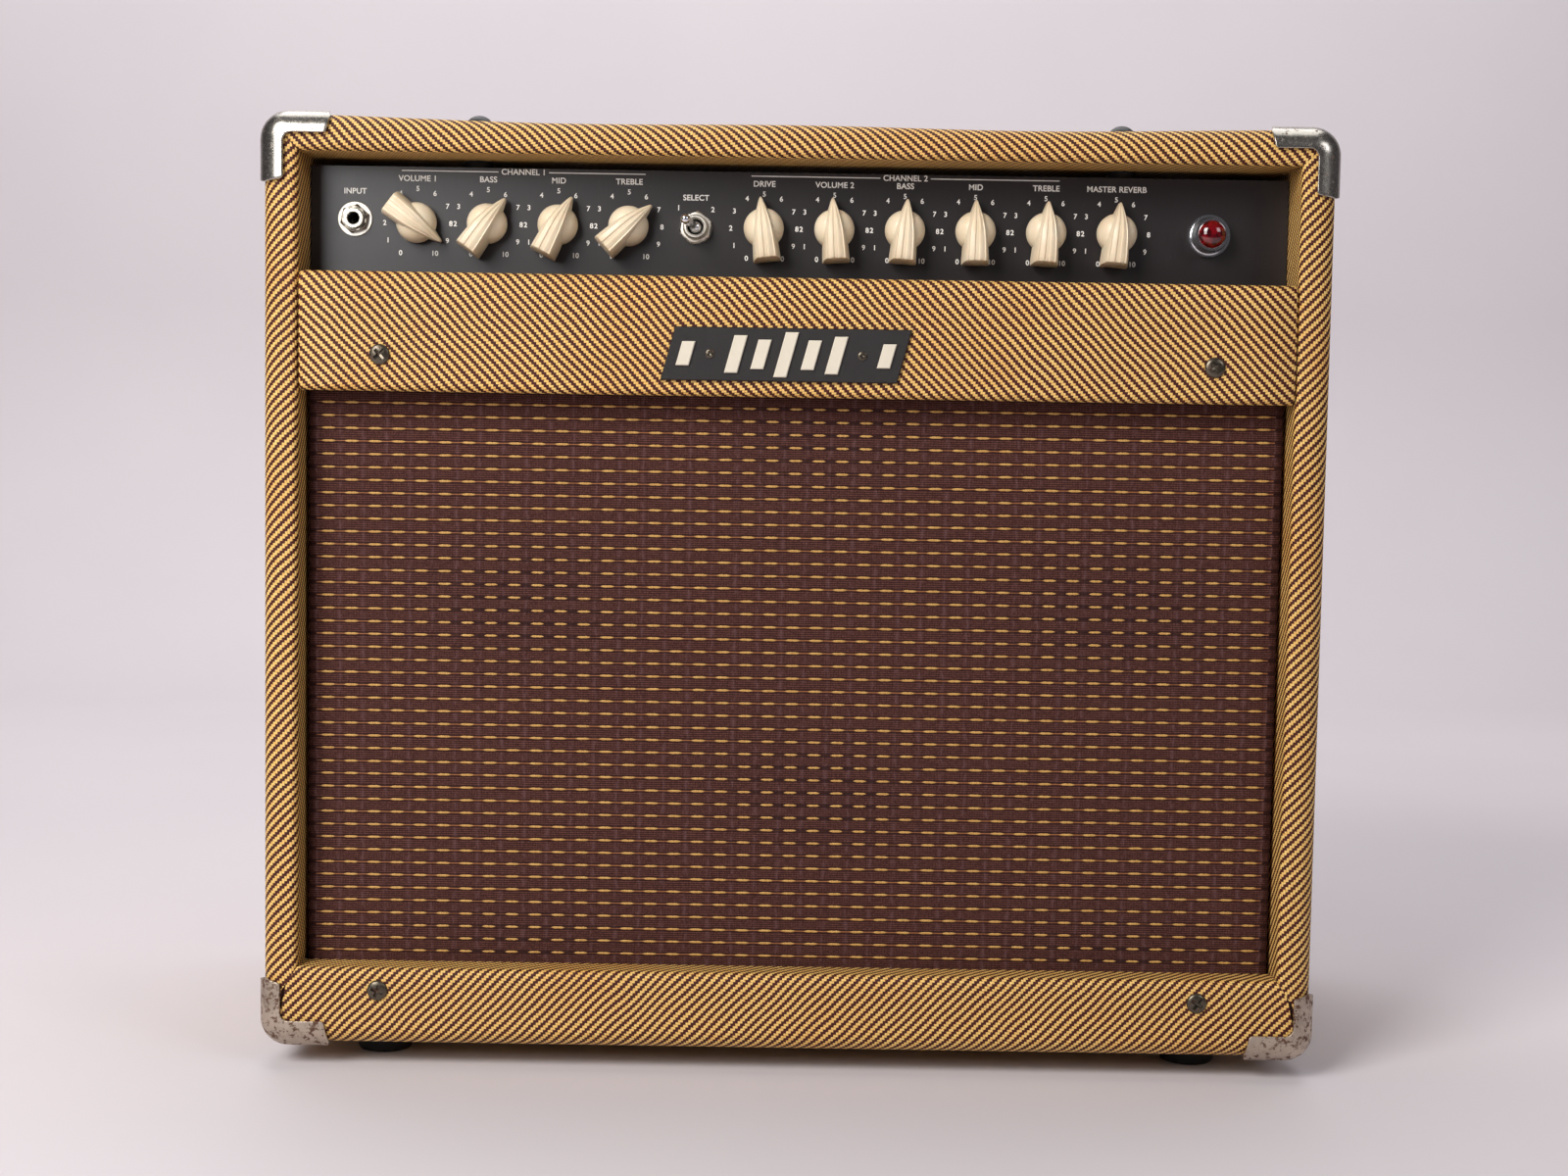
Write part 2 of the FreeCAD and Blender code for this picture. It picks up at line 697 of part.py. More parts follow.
def make_speaker():
    """A twelve-inch loudspeaker on the back of the baffle."""
    flange_y = at_depth(d.board + d.cloth_thickness + d.baffle_thickness)
    z = d.speaker_z
    wall = d.basket_wall
    back_y = at_depth(d.basket_back)
    slope_y = flange_y + d.basket_shoulder
    inner = d.speaker_hole - wall
    flange = ring("basket_flange", "+Y", 0, flange_y, z, d.speaker_radius, inner, wall)
    shoulder = ring("basket_rim", "+Y", 0, flange_y, z, d.speaker_hole, inner, d.basket_shoulder)
    rim = cut("basket_front_ring", fuse("basket_front", [flange, shoulder]),
              speaker_bolt_rods("flange_hole", d.bolt_hole, flange_y - 1, 4))
    seat = ring("basket_seat", "+Y", 0, back_y - wall, z, d.basket_waist + wall, d.basket_seat_hole, wall)
    node("speaker_basket", group("basket", [rim, seat]))
    node("speaker_arms", group("basket_arms", basket_arms(slope_y, back_y - slope_y)))

    ring_y = back_y + d.magnet_plate
    plate_y = ring_y + d.magnet_ring
    top_plate = ring("magnet_top_plate", "+Y", 0, back_y, z, d.basket_waist - 2, d.magnet_gap_radius,
                     d.magnet_plate)
    magnet = ring("magnet_ring", "+Y", 0, ring_y, z, d.magnet_radius, 34, d.magnet_ring)
    yoke = fuse("magnet_yoke", [
        cylinder("magnet_back_plate", "+Y", 0, plate_y, z, d.magnet_radius - 4, d.magnet_plate),
        cylinder("magnet_pole", "+Y", 0, back_y - 2, z, d.magnet_pole_radius, plate_y - back_y + 2),
    ])
    node("speaker_magnet", group("magnet", [top_plate, magnet, yoke]))

    front_y = at_depth(d.cone_front)
    length = d.cone_back - d.cone_front
    paper = cut(
        "cone_paper",
        cone("cone_paper_outer", "+Y", 0, front_y, z, d.cone_radius, d.coil_radius, length),
        [cone("cone_paper_inner", "+Y", 0, front_y, z, d.cone_radius - 2.4, d.coil_radius - 2, length)],
    )
    former = ring("coil_former", "+Y", 0, front_y + length - 1, z, d.coil_radius, d.coil_radius - 0.8, 34)
    cap = cut("dust_cap", dome("cap_outer", "-Y", 0, front_y + 34, z, 52, 15),
              [dome("cap_inner", "-Y", 0, front_y + 35, z, 51, 14.6)])
    node("speaker_cone", fuse("cone_assembly", [paper, former, cap]))

    roll = ring("surround_roll", "+Y", 0, front_y - d.surround_width / 2, z, inner - 0.5, d.cone_radius + 0.4,
                d.surround_width)
    spider = ring("spider_disc", "+Y", 0, at_depth(d.spider_depth), z, d.spider_radius,
                  d.coil_radius + 0.6, 1)
    node("speaker_suspension", group("suspension", [roll, spider]))

    bolts = []
    nut_y = flange_y + wall
    for k, rod in enumerate(speaker_bolt_rods("speaker_bolt", 2.4, flange_y - d.baffle_thickness, 20)):
        angle = math.radians(22.5 + 45 * k)
        nut = hexagon(f"speaker_nut_{k}", "+Y", d.speaker_bolt_circle * math.cos(angle), nut_y,
                      z + d.speaker_bolt_circle * math.sin(angle), 8.7, 4)
        bolts.append(fuse(f"speaker_fastener_{k}", [rod, nut]))
    node("speaker_bolts", group("speaker_bolt_set", bolts))


def control_places():
    """Name and x of the ten rotary controls, from left to right."""
    names_one = ["volume_1", "bass_1", "mid_1", "treble_1"]
    names_two = ["drive", "volume_2", "bass_2", "mid_2", "treble_2", "reverb"]
    places = [(name, d.bank_one_x + d.knob_pitch * k) for k, name in enumerate(names_one)]
    places += [(name, d.bank_two_x + d.knob_pitch * k) for k, name in enumerate(names_two)]
    return places


# How far each pointer is turned clockwise from straight up, in degrees: thirty degrees a number.
POINTER_DEGREES = {
    "volume_1": 127, "bass_1": 36, "mid_1": 27, "treble_1": 48, "drive": -7,
    "volume_2": -4, "bass_2": 4, "mid_2": 0, "treble_2": 3, "reverb": 5,
}

# Rear controls: x of each piece on the chassis back.
REAR_JACK_X = (40, 75, 110, 160, 195)
MAINS_X = -195
FUSE_X = -150
POWER_X = -112
STANDBY_X = -76


def front_holes():
    """The cutters for the holes that the control panel and the chassis front share."""
    y = at_depth(d.panel_depth) - 2
    length = 2 * d.plate + 4
    small = d.bushing_radius + d.hole_clearance
    cutters = [cylinder(f"panel_hole_{name}", "+Y", x, y, d.control_z, small, length)
               for name, x in control_places()]
    cutters.append(cylinder("panel_hole_input", "+Y", d.input_x, y, d.input_z, small, length))
    cutters.append(cylinder("panel_hole_select", "+Y", d.select_x, y, d.control_z,
                            d.toggle_bushing_radius + d.hole_clearance, length))
    cutters.append(cylinder("panel_hole_lamp", "+Y", d.lamp_x, y, d.control_z,
                            d.lamp_hole_radius + d.hole_clearance, length))
    return fuse("panel_holes", cutters)


def make_chassis():
    """The steel tray, its front plate, and the bolts and spacers that hang it from the top board."""
    holes = front_holes()
    front_y = at_depth(d.panel_depth)
    half_plate = INNER_X - d.side_gap
    plate = box("panel_plate", -half_plate, front_y, d.panel_low, 2 * half_plate, d.plate,
                d.panel_high - d.panel_low)
    node("control_panel", cut("panel_drilled", plate, [holes]))

    tray_y = front_y + d.plate
    back_y = at_depth(d.chassis_back)
    half = d.chassis_half_width
    tall = d.chassis_top - d.chassis_floor
    outer = box("tray_outer", -half, tray_y, d.chassis_floor, 2 * half, back_y - tray_y, tall)
    hollow = box("tray_hollow", -half + d.plate, tray_y + d.plate, d.chassis_floor + d.plate,
                 2 * (half - d.plate), back_y - tray_y - 2 * d.plate, tall - 2 * d.plate)
    mouth = box("tray_mouth", -half + d.plate, tray_y + d.chassis_lip, d.chassis_top - 2 * d.plate,
                2 * (half - d.plate), back_y - tray_y - 2 * d.chassis_lip, 3 * d.plate)
    tools = [hollow, mouth, holes]
    tools += chassis_bolt_rods("lip_hole", d.bolt_hole, d.chassis_top - 5, 10)
    small = d.bushing_radius + d.hole_clearance
    for i, x in enumerate(REAR_JACK_X):
        tools.append(cylinder(f"rear_jack_hole_{i}", "+Y", x, back_y - 5, d.control_z, small, 10))
    for name, x in (("power", POWER_X), ("standby", STANDBY_X)):
        tools.append(cylinder(f"{name}_hole", "+Y", x, back_y - 5, d.control_z,
                              d.toggle_bushing_radius + d.hole_clearance, 10))
    tools.append(cylinder("fuse_hole", "+Y", FUSE_X, back_y - 5, d.control_z, 6.6, 10))
    tools.append(centred_box("mains_hole", as_size(MAINS_X), back_y - 5, d.control_z, 28, 10, 21))
    for i, (x, depth, radius) in enumerate(tube_places()):
        tools.append(cylinder(f"socket_hole_{i}", "+Z", x, at_depth(depth), d.chassis_floor - 5, radius - 2,
                              10))
    node("chassis_tray", cut("tray", outer, tools))

    bolts = []
    spacers = []
    spacer_height = INNER_TOP - d.chassis_top
    shank_low = d.chassis_top - 10
    shanks = chassis_bolt_rods("chassis_shank", d.bolt_shank, shank_low, CABINET_TOP - shank_low)
    head_z = CABINET_TOP + d.bolt_washer
    for i, shank in enumerate(shanks):
        x = d.chassis_bolt_x * (-1 if i < 2 else 1)
        y = at_depth(d.chassis_bolt_front if i % 2 == 0 else d.chassis_bolt_back)
        washer = cylinder(f"chassis_washer_{i}", "+Z", x, y, CABINET_TOP, d.bolt_washer_radius, d.bolt_washer)
        head = dome(f"chassis_head_{i}", "+Z", x, y, head_z, d.bolt_head_radius, d.bolt_head_rise)
        bolts.append(fuse(f"chassis_bolt_{i}", [shank, washer, head]))
        nut = hexagon(f"chassis_nut_blank_{i}", "+Z", x, y, d.chassis_top - 6, 8, 4)
        thread = cylinder(f"chassis_nut_thread_{i}", "+Z", x, y, d.chassis_top - 6, 2.55, 4)
        bolts.append(cut(f"chassis_nut_{i}", nut, [thread]))
        spacers.append(ring(f"chassis_spacer_{i}", "+Z", x, y, d.chassis_top, d.bolt_head_radius, d.bolt_hole,
                            spacer_height))
    node("chassis_bolts", group("chassis_bolt_set", bolts))
    node("chassis_spacers", group("chassis_spacer_set", spacers))


def jack_socket(name, outward, x, panel_y, z):
    """A quarter-inch jack: bushing with a bore, and a contact frame behind the panel."""
    sign = -1 if outward == "-Y" else 1
    inward = "+Y" if sign < 0 else "-Y"
    mouth_y = panel_y + d.bushing_stand * sign
    bushing = cylinder(name + "_bushing", inward, x, mouth_y, z, d.bushing_radius, 9)
    frame_start = panel_y - sign * 3.5
    frame_low = frame_start if sign < 0 else frame_start - 20
    frame = centred_box(name + "_frame", x, frame_low, z, 18, 20, 22)
    bore = cylinder(name + "_bore", inward, x, mouth_y + sign, z, d.jack_bore, 26)
    pocket_low = frame_start + 1.5 if sign < 0 else frame_start - 20 + 1.5
    pocket = centred_box(name + "_pocket", x, pocket_low, z, 12, 17, 16)
    return cut(name, fuse(name + "_solid", [bushing, frame]), [bore, pocket])


def panel_nut(name, outward, x, y, z, bore, across_flats, washer_radius):
    """A hexagon nut on a flat washer, as one fastener."""
    washer = cylinder(name + "_washer", outward, x, y, z, washer_radius, d.washer)
    step = -d.washer if outward == "-Y" else d.washer
    blank = hexagon(name + "_hexagon", outward, x, y + step, z, across_flats, 2)
    thread = cylinder(name + "_thread", outward, x, y, z, bore, 4)
    return cut(name, fuse(name + "_stack", [washer, blank]), [thread])


def make_controls():
    """Jack, potentiometers, nuts, knobs, select switch and pilot lamp on the control panel."""
    panel_y = at_depth(d.panel_depth)
    inside_y = panel_y + 2 * d.plate
    node("input_jack", jack_socket("input_socket", "-Y", d.input_x, panel_y, d.input_z))

    bore = d.bushing_radius + d.hole_clearance
    nuts = [panel_nut("input_nut", "-Y", d.input_x, panel_y, d.input_z, bore, d.small_nut_flats, 8.6)]
    pots = []
    shaft_bore = d.shaft_radius + d.shaft_clearance
    for name, x in control_places():
        nuts.append(panel_nut(f"pot_nut_{name}", "-Y", x, panel_y, d.control_z, bore, d.small_nut_flats,
                              7.4))
        bushing = cylinder(f"pot_bushing_{name}", "+Y", x, panel_y - 2.8, d.control_z, d.bushing_radius,
                           3.8 + 2 * d.plate)
        can = cylinder(f"pot_can_{name}", "+Y", x, inside_y, d.control_z, d.pot_radius, d.pot_length)
        hollow = cylinder(f"pot_bore_{name}", "+Y", x, panel_y - 3, d.control_z, shaft_bore, 12)
        lugs = centred_box(f"pot_lugs_{name}", x, inside_y + 1, d.control_z - 15, 14, 2, 10)
        pots.append(cut(f"pot_{name}", fuse(f"pot_solid_{name}", [bushing, can, lugs]), [hollow]))
    node("panel_nuts", group("panel_nut_set", nuts))
    node("potentiometers", group("potentiometer_set", pots))

    for name, x in control_places():
        node(f"knob_{name}", knob(name, x, panel_y))

    tilt_angle = math.radians(d.select_tilt.value)
    tilt = FreeCAD.Vector(-math.cos(tilt_angle), 0, math.sin(tilt_angle))
    switch, lever = toggle("select", d.select_x, panel_y, -1, tilt, d.select_lever_length)
    node("select_switch", switch)
    node("select_lever", lever)

    z = d.control_z
    flange = cylinder("lamp_flange", "-Y", d.lamp_x, panel_y, z, d.lamp_flange_radius, d.lamp_flange)
    collar = cone("lamp_collar", "-Y", d.lamp_x, panel_y - d.lamp_flange, z, 9.6, 8,
                  d.lamp_collar_reach - d.lamp_flange)
    tube = cylinder("lamp_tube", "+Y", d.lamp_x, panel_y, z, d.lamp_hole_radius, 16)
    jewel_y = panel_y - d.lamp_collar_reach
    hollow = cylinder("lamp_hollow", "+Y", d.lamp_x, jewel_y - 1, z, d.jewel_radius + 0.1, 30)
    node("lamp_bezel", cut("lamp_bezel_turned", fuse("lamp_bezel_solid", [flange, collar, tube]), [hollow]))
    stem = cylinder("jewel_stem", "+Y", d.lamp_x, jewel_y, z, d.jewel_radius, 6)
    lens = dome("jewel_dome", "-Y", d.lamp_x, jewel_y, z, d.jewel_radius, d.jewel_rise)
    node("lamp_jewel", fuse("jewel", [stem, lens]))
    socket = cylinder("lamp_socket_body", "+Y", d.lamp_x, panel_y + 16, z, 7.5, 14)
    bulb = fuse("lamp_bulb", [
        cylinder("bulb_glass", "+Y", d.lamp_x, panel_y + 3, z, 4.4, 13),
        dome("bulb_tip", "-Y", d.lamp_x, panel_y + 3, z, 4.4, 3),
    ])
    node("lamp_socket", group("lamp_holder", [socket, bulb]))


def knob(name, x, panel_y):
    """A pointer knob with its shaft and grub screw, turned to where its pointer stands."""
    body = DOC.addObject("PartDesign::Body", f"knob_body_{name}")
    turn = TURNS["-Y"] * FreeCAD.Rotation(UP, -POINTER_DEGREES[name])
    base_y = panel_y - d.knob_base_gap
    place(body, x, base_y, d.control_z, turn)
    half_tail = d.knob_tail_width / 2
    pointer = sketch(body, f"pointer_outline_{name}", "XY_Plane", [
        (-half_tail, -d.knob_tail), (half_tail, -d.knob_tail), (half_tail * 0.72, 4),
        (0.7, d.knob_tip), (-0.7, d.knob_tip), (half_tail * -0.72, 4),
    ])
    pad(body, f"pointer_{name}", pointer, d.knob_height)
    disc = circle_sketch(body, f"disc_outline_{name}", d.knob_radius)
    pad(body, f"disc_{name}", disc, d.knob_body_height)
    before = body.Shape.Volume
    socket = circle_sketch(body, f"socket_outline_{name}", d.shaft_radius + d.shaft_clearance)
    pocket = body.newObject("PartDesign::Pocket", f"socket_{name}")
    pocket.Profile = socket
    pocket.Reversed = True
    bind(pocket, "Length", 9)
    DOC.recompute()
    if body.Shape.Volume > before - 200:
        raise ValueError(f"the socket of knob {name} is not cut")
    shaft_in_knob = 8.5
    shaft_y = base_y - shaft_in_knob
    shaft = cylinder(f"shaft_{name}", "+Y", x, shaft_y, d.control_z, d.shaft_radius,
                     2 * shaft_in_knob + d.knob_base_gap)
    return group(f"knob_set_{name}", [body, shaft])


def circle_sketch(body, name, radius):
    """A circle round the body's own axis."""
    drawing = body.newObject("Sketcher::SketchObject", name)
    plane = [feature for feature in body.Origin.OriginFeatures if feature.Role == "XY_Plane"][0]
    drawing.AttachmentSupport = [(plane, "")]
    drawing.MapMode = "FlatFace"
    drawing.addGeometry(Part.Circle(FreeCAD.Vector(), UP, as_size(radius).value), False)
    drawing.addConstraint(Sketcher.Constraint("Coincident", 0, 3, -1, 1))
    index = drawing.addConstraint(Sketcher.Constraint("Radius", 0, as_size(radius).value))
    drawing.setExpression(f"Constraints[{index}]", as_size(radius).text)
    return drawing


def toggle(name, x, panel_y, sign, tilt, lever_length):
    """A toggle switch body and its bat lever, tilted towards the tilt direction."""
    outward = "-Y" if sign < 0 else "+Y"
    inward = "+Y" if sign < 0 else "-Y"
    z = d.control_z
    mouth_y = panel_y + sign * 8
    bushing = cylinder(f"{name}_bushing", inward, x, mouth_y, z, d.toggle_bushing_radius, 12)
    box_low = panel_y + 3.5 if sign < 0 else panel_y - 3.5 - 20
    case = centred_box(f"{name}_case", x, box_low, z, 16, 20, 28)
    solid = fuse(f"{name}_solid", [bushing, case])
    socket = cylinder(f"{name}_socket", inward, x, mouth_y + sign, z, d.lever_socket_radius, 11)
    switch = cut(f"{name}_drilled", solid, [socket])
    nut = panel_nut(f"{name}_nut", outward, x, panel_y, z, d.toggle_bushing_radius + 0.05,
                    d.toggle_nut_flats, 8.3)

    pivot_y = panel_y + sign * 3.2
    lean = math.radians(d.lever_lean.value)
    direction = FreeCAD.Vector(tilt.x * math.sin(lean), sign * math.cos(lean), tilt.z * math.sin(lean))
    turn = FreeCAD.Rotation(UP, direction)
    reach = lever_length - d.lever_tip_radius
    lever = fuse(f"{name}_lever_solid", [
        ball(f"{name}_ball", x, pivot_y, z, d.lever_ball_radius, turn),
        cone(f"{name}_bat", turn, x, pivot_y, z, d.lever_neck_radius, d.lever_tip_radius, reach),
        ball(f"{name}_tip", x + reach * direction.x, pivot_y + reach * direction.y, z + reach * direction.z,
             d.lever_tip_radius, turn),
    ])
    return group(f"{name}_switch_set", [switch, nut]), lever


def tube_places():
    """X, depth and socket radius of the valves in the chassis floor, power valves first."""
    power = [(-60 + 35 * k, 198, 13) for k in range(4)]
    preamp = [(82 + 29 * k, 198, 12) for k in range(4)]
    return power + preamp


def make_electronics():
    """Valves, transformers, circuit board and reverb tank."""
    sockets = []
    power = []
    preamp = []
    for i, (x, depth, radius) in enumerate(tube_places()):
        y = at_depth(depth)
        top = d.chassis_floor
        sockets.append(ring(f"socket_{i}", "-Z", as_size(x), y, top, radius, d.valve_pin_circle,
                            d.valve_socket_height))
        glass = d.power_valve_radius if i < 4 else d.preamp_valve_radius
        length = d.power_valve_length if i < 4 else d.preamp_valve_length
        glass_z = top - d.valve_socket_height - 1
        bulb = fuse(f"valve_{i}", [
            cylinder(f"valve_base_{i}", "-Z", as_size(x), y, top, d.valve_pin_circle - 0.2, 9),
            cylinder(f"valve_glass_{i}", "-Z", as_size(x), y, glass_z, glass, length),
            dome(f"valve_crown_{i}", "-Z", as_size(x), y, glass_z - length, glass, 4),
            cone(f"valve_tip_{i}", "-Z", as_size(x), y, glass_z - length - 3, 2.4, 0.6, 5),
        ])
        (power if i < 4 else preamp).append(bulb)
    node("tube_sockets", group("socket_set", sockets))
    node("power_tubes", group("power_valves", power))
    node("preamp_tubes", group("preamp_valves", preamp))

    node("power_transformer", transformer("power", -145, 165, 92, 76, 36))
    node("output_transformer", transformer("output", 160, 120, 70, 58, 28))

    standoff_z = d.chassis_floor + d.plate
    board_z = standoff_z + d.standoff
    sheet_thickness = 1.6
    parts_z = board_z + sheet_thickness
    pieces = [box("board_sheet", -d.circuit_board_half, at_depth(70), board_z, 2 * d.circuit_board_half,
                  d.circuit_board_depth, sheet_thickness)]
    for x in (-190, 0, 190):
        for depth in (76, 174):
            pieces.append(cylinder(f"standoff_{x + 200}_{depth}", "+Z", as_size(x), at_depth(depth),
                                   standoff_z, 3, d.standoff))
    for k in range(6):
        pieces.append(cylinder(f"capacitor_{k}", "+Z", as_size(30 * k - 170), at_depth(105), parts_z, 10,
                               34))
    for k in range(12):
        pieces.append(box(f"resistor_{k}", as_size(-175 + 30 * k), at_depth(140), parts_z, 12, 5, 4))
    node("circuit_board", group("board_assembly", pieces))

    wall = d.tank_wall
    tank_y = at_depth(92)
    tank_z = INNER_BOTTOM + 0.2
    half = d.tank_half_length
    pan = cut("tank_pan", box("tank_block", -half, tank_y, tank_z, 2 * half, d.tank_depth, d.tank_height),
              [box("tank_hollow", -half + wall, tank_y + wall, tank_z - wall, 2 * (half - wall),
                   d.tank_depth - 2 * wall, d.tank_height)])
    carrier = box("tank_carrier", -195, tank_y + 12, tank_z + 8, 390, 84, wall)
    springs = [cylinder(f"tank_spring_{k}", "+X", -165, tank_y + 34 + 20 * k, tank_z + 18, 2.4, 330)
               for k in range(3)]
    coils = [box(f"tank_coil_{k}", x, tank_y + 26, tank_z + 8 + wall, 24, 56, 16)
             for k, x in enumerate((-190, 166))]
    node("reverb_tank", group("tank", [pan, carrier] + springs + coils))


def transformer(name, x, depth, width, height, stack):
    """A laminated core with two wound-coil covers, hung under the chassis floor."""
    x = as_size(x)
    top = d.chassis_floor
    core_y = at_depth(depth) - stack / 2
    core = box(f"{name}_core", x - width / 2, core_y, top - height, width, stack, height)
    covers = []
    for side in (0, 1):
        cover_depth = stack * 0.55
        y = core_y + stack if side else core_y - cover_depth
        body = DOC.addObject("PartDesign::Body", f"{name}_cover_{side}")
        place(body, x, y, top - height / 2, TURNS["+Y"])
        half_w = width / 2 - 7
        half_h = height / 2 - 7
        outline = sketch(body, f"{name}_cover_outline_{side}", "XY_Plane",
                         [(-half_w, -half_h), (half_w, -half_h), (half_w, half_h), (-half_w, half_h)])
        block = pad(body, f"{name}_cover_block_{side}", outline, cover_depth)
        far = 0 if side == 0 else cover_depth
        round_edges(body, f"{name}_cover_round_{side}", block, 7,
                    lambda bounds, far=far: bounds.ZLength > 1 or abs(bounds.ZMax - far) < 0.001)
        covers.append(body)
    return group(f"{name}_transformer_set", [core] + covers)


def back_screw_places():
    """X and z of the screws that hold the back panels to their cleats."""
    heights = (46, 90, 135, 305, 362)
    return [((INNER_X - d.cleat_width / 2) * sign, as_size(z)) for sign in (-1, 1) for z in heights]


def make_back():
    """Back panels and what is fastened through the chassis back."""
    y = at_depth(d.cabinet_depth - d.back_recess - d.back_board)
    half = INNER_X - d.side_gap
    low = INNER_BOTTOM + 1
    for name, bottom, top in (("back_panel_lower", low, d.back_low_top),
                              ("back_panel_upper", d.back_high_bottom, d.back_high_top)):
        panel = box(name + "_sheet", -half, y, bottom, 2 * half, d.back_board, top - bottom)
        holes = [cylinder(f"{name}_hole_{i}", "+Y", x, y - 1, z, d.back_screw_shank, d.back_board + 2)
                 for i, (x, z) in enumerate(back_screw_places()) if bottom.value < z.value < top.value]
        node(name, cut(name + "_drilled", panel, holes))

    wall_y = at_depth(d.chassis_back)
    jacks = []
    for i, x in enumerate(REAR_JACK_X):
        jacks.append(jack_socket(f"rear_socket_{i}", "+Y", as_size(x), wall_y, d.control_z))
        jacks.append(panel_nut(f"rear_nut_{i}", "+Y", as_size(x), wall_y, d.control_z,
                               d.bushing_radius + d.hole_clearance, d.small_nut_flats, 8.2))
    node("rear_jacks", group("rear_jack_set", jacks))

    z = d.control_z
    mains = as_size(MAINS_X)
    flange = centred_box("mains_flange", mains, wall_y, z, 50, 2.5, 28)
    case = centred_box("mains_case", mains, wall_y - 22, z, 27, 22, 20)
    cavity = centred_box("mains_cavity", mains, wall_y - 17, z, 24, 24, 16.5)
    shell = cut("mains_shell", fuse("mains_solid", [flange, case]), [cavity])
    pins = [centred_box(f"mains_pin_{k}", mains + dx, wall_y - 17, z + dz, 2, 13, 4)
            for k, (dx, dz) in enumerate(((-7, 3.5), (0, -3), (7, 3.5)))]
    node("mains_inlet", group("mains_inlet_set", [shell] + pins))

    fuse_x = as_size(FUSE_X)
    node("fuse_holder", fuse("fuse_holder_solid", [
        cylinder("fuse_tube", "-Y", fuse_x, wall_y, z, 6.5, 30),
        cylinder("fuse_cap", "+Y", fuse_x, wall_y, z, 8.2, 9),
        cylinder("fuse_grip", "+Y", fuse_x, wall_y + 9, z, 5.8, 4),
    ]))

    down = FreeCAD.Vector(0, 0, -1)
    switches = []
    levers = []
    for name, x in (("power", POWER_X), ("standby", STANDBY_X)):
        switch, lever = toggle(name, as_size(x), wall_y, 1, down, d.lever_length)
        switches.append(switch)
        levers.append((name, lever))
    node("rear_switches", group("rear_switch_set", switches))
    for name, lever in levers:
        node(f"{name}_lever", lever)


def make_handle_and_feet():
    """Strap handle with end caps on the top board, rubber feet under the bottom, and their screws."""
    reach = d.strap_half_length
    seat = CABINET_TOP + d.strap_seat
    crest = seat + d.strap_rise
    slope_start = reach - 31
    slope_end = slope_start - 20
    inner = [(reach, seat), (slope_start, seat), (slope_end, crest)]
    outer = [(reach, seat + d.strap_thickness), (slope_start + 2, seat + d.strap_thickness),
             (slope_end + 2, crest + d.strap_thickness)]
    outline = inner + [(-u, v) for u, v in reversed(inner)]
    outline += [(-u, v) for u, v in outer] + list(reversed(outer))
    mid_y = at_depth(d.cabinet_depth / 2)
    body = DOC.addObject("PartDesign::Body", "strap_body")
    place(body, 0, mid_y + d.strap_width / 2, 0, TURNS["-Y"])
    pad(body, "strap_pad", sketch(body, "strap_outline", "XY_Plane", outline), d.strap_width)
    screw_x = reach - d.strap_screw_inset
    holes = [cylinder(f"strap_hole_{sign + 1}", "+Z", screw_x * sign, mid_y, seat - 1, d.bolt_hole, 12)
             for sign in (-1, 1)]
    node("handle_strap", cut("strap_drilled", body, holes))

    caps = []
    screws = []
    half_cap = d.cap_width / 2
    cap_top = CABINET_TOP + d.cap_height
    for sign in (-1, 1):
        x = screw_x * sign - half_cap
        block = box(f"cap_block_{sign + 1}", x, mid_y - half_cap, CABINET_TOP, d.cap_width, d.cap_width,
                    d.cap_height)
        slot_x = x - 1 if sign > 0 else x + d.cap_wall
        channel = box(f"cap_channel_{sign + 1}", slot_x, mid_y - d.cap_channel_width / 2, CABINET_TOP - 1,
                      d.cap_width - d.cap_wall + 1, d.cap_channel_width, d.cap_channel_height + 1)
        hole = cylinder(f"cap_hole_{sign + 1}", "+Z", screw_x * sign, mid_y, CABINET_TOP, d.bolt_hole, 12)
        caps.append(cut(f"cap_{sign + 1}", block, [channel, hole]))
        screws.append(screw(f"handle_screw_{sign + 1}", "+Z", screw_x * sign, mid_y, cap_top,
                            d.front_screw_head, d.front_screw_proud, d.bolt_shank, 8))
    node("handle_end_caps", group("end_caps", caps))

    feet = []
    for x_sign in (-1, 1):
        for y in (at_depth(d.foot_inset_y), at_depth(d.cabinet_depth - d.foot_inset_y)):
            x = (HALF_WIDTH - d.foot_inset_x) * x_sign
            k = len(feet)
            pad_cone = cone(f"foot_cone_{k}", "+Z", x, y, 0, d.foot_bottom_radius, d.foot_top_radius,
                            d.foot_height)
            recess = cylinder(f"foot_recess_{k}", "+Z", x, y, -1, 6, 6)
            feet.append(cut(f"foot_{k}", pad_cone, [recess]))
            screws.append(dome(f"foot_screw_{k}", "-Z", x, y, 5, 4.6, 1.8))
    node("rubber_feet", group("feet", feet))

    back_y = at_depth(d.cabinet_depth - d.back_recess)
    for i, (x, z) in enumerate(back_screw_places()):
        screws.append(screw(f"back_screw_{i}", "+Y", x, back_y, z, 4.2, 1.8, d.back_screw_shank - 0.05,
                            d.back_board))
    node("cabinet_screws", group("cabinet_screw_set", screws))


def check_and_write():
    """Stop if any object failed, then write each sub-part to its own file."""
    DOC.recompute()
    for thing in DOC.Objects:
        if "Invalid" in thing.State or "Error" in thing.State:
            raise ValueError(f"{thing.Name} failed: {thing.State}")
    os.makedirs("parts", exist_ok=True)
    for thing in NODES:
        shape = thing.Shape
        if shape.isNull() or not shape.isValid() or not shape.Solids:
            raise ValueError(f"{thing.Label} has no valid solid")
        shape.exportStep(os.path.join("parts", thing.Label + ".step"))
        print(f"{thing.Label}: {len(shape.Solids)} solid(s), {shape.Volume / 1000:.1f} cm3")
    print(f"{len(NODES)} sub-parts")


make_cabinet()
make_front()
make_speaker()
make_chassis()
make_controls()
make_electronics()
make_back()
make_handle_and_feet()
check_and_write()
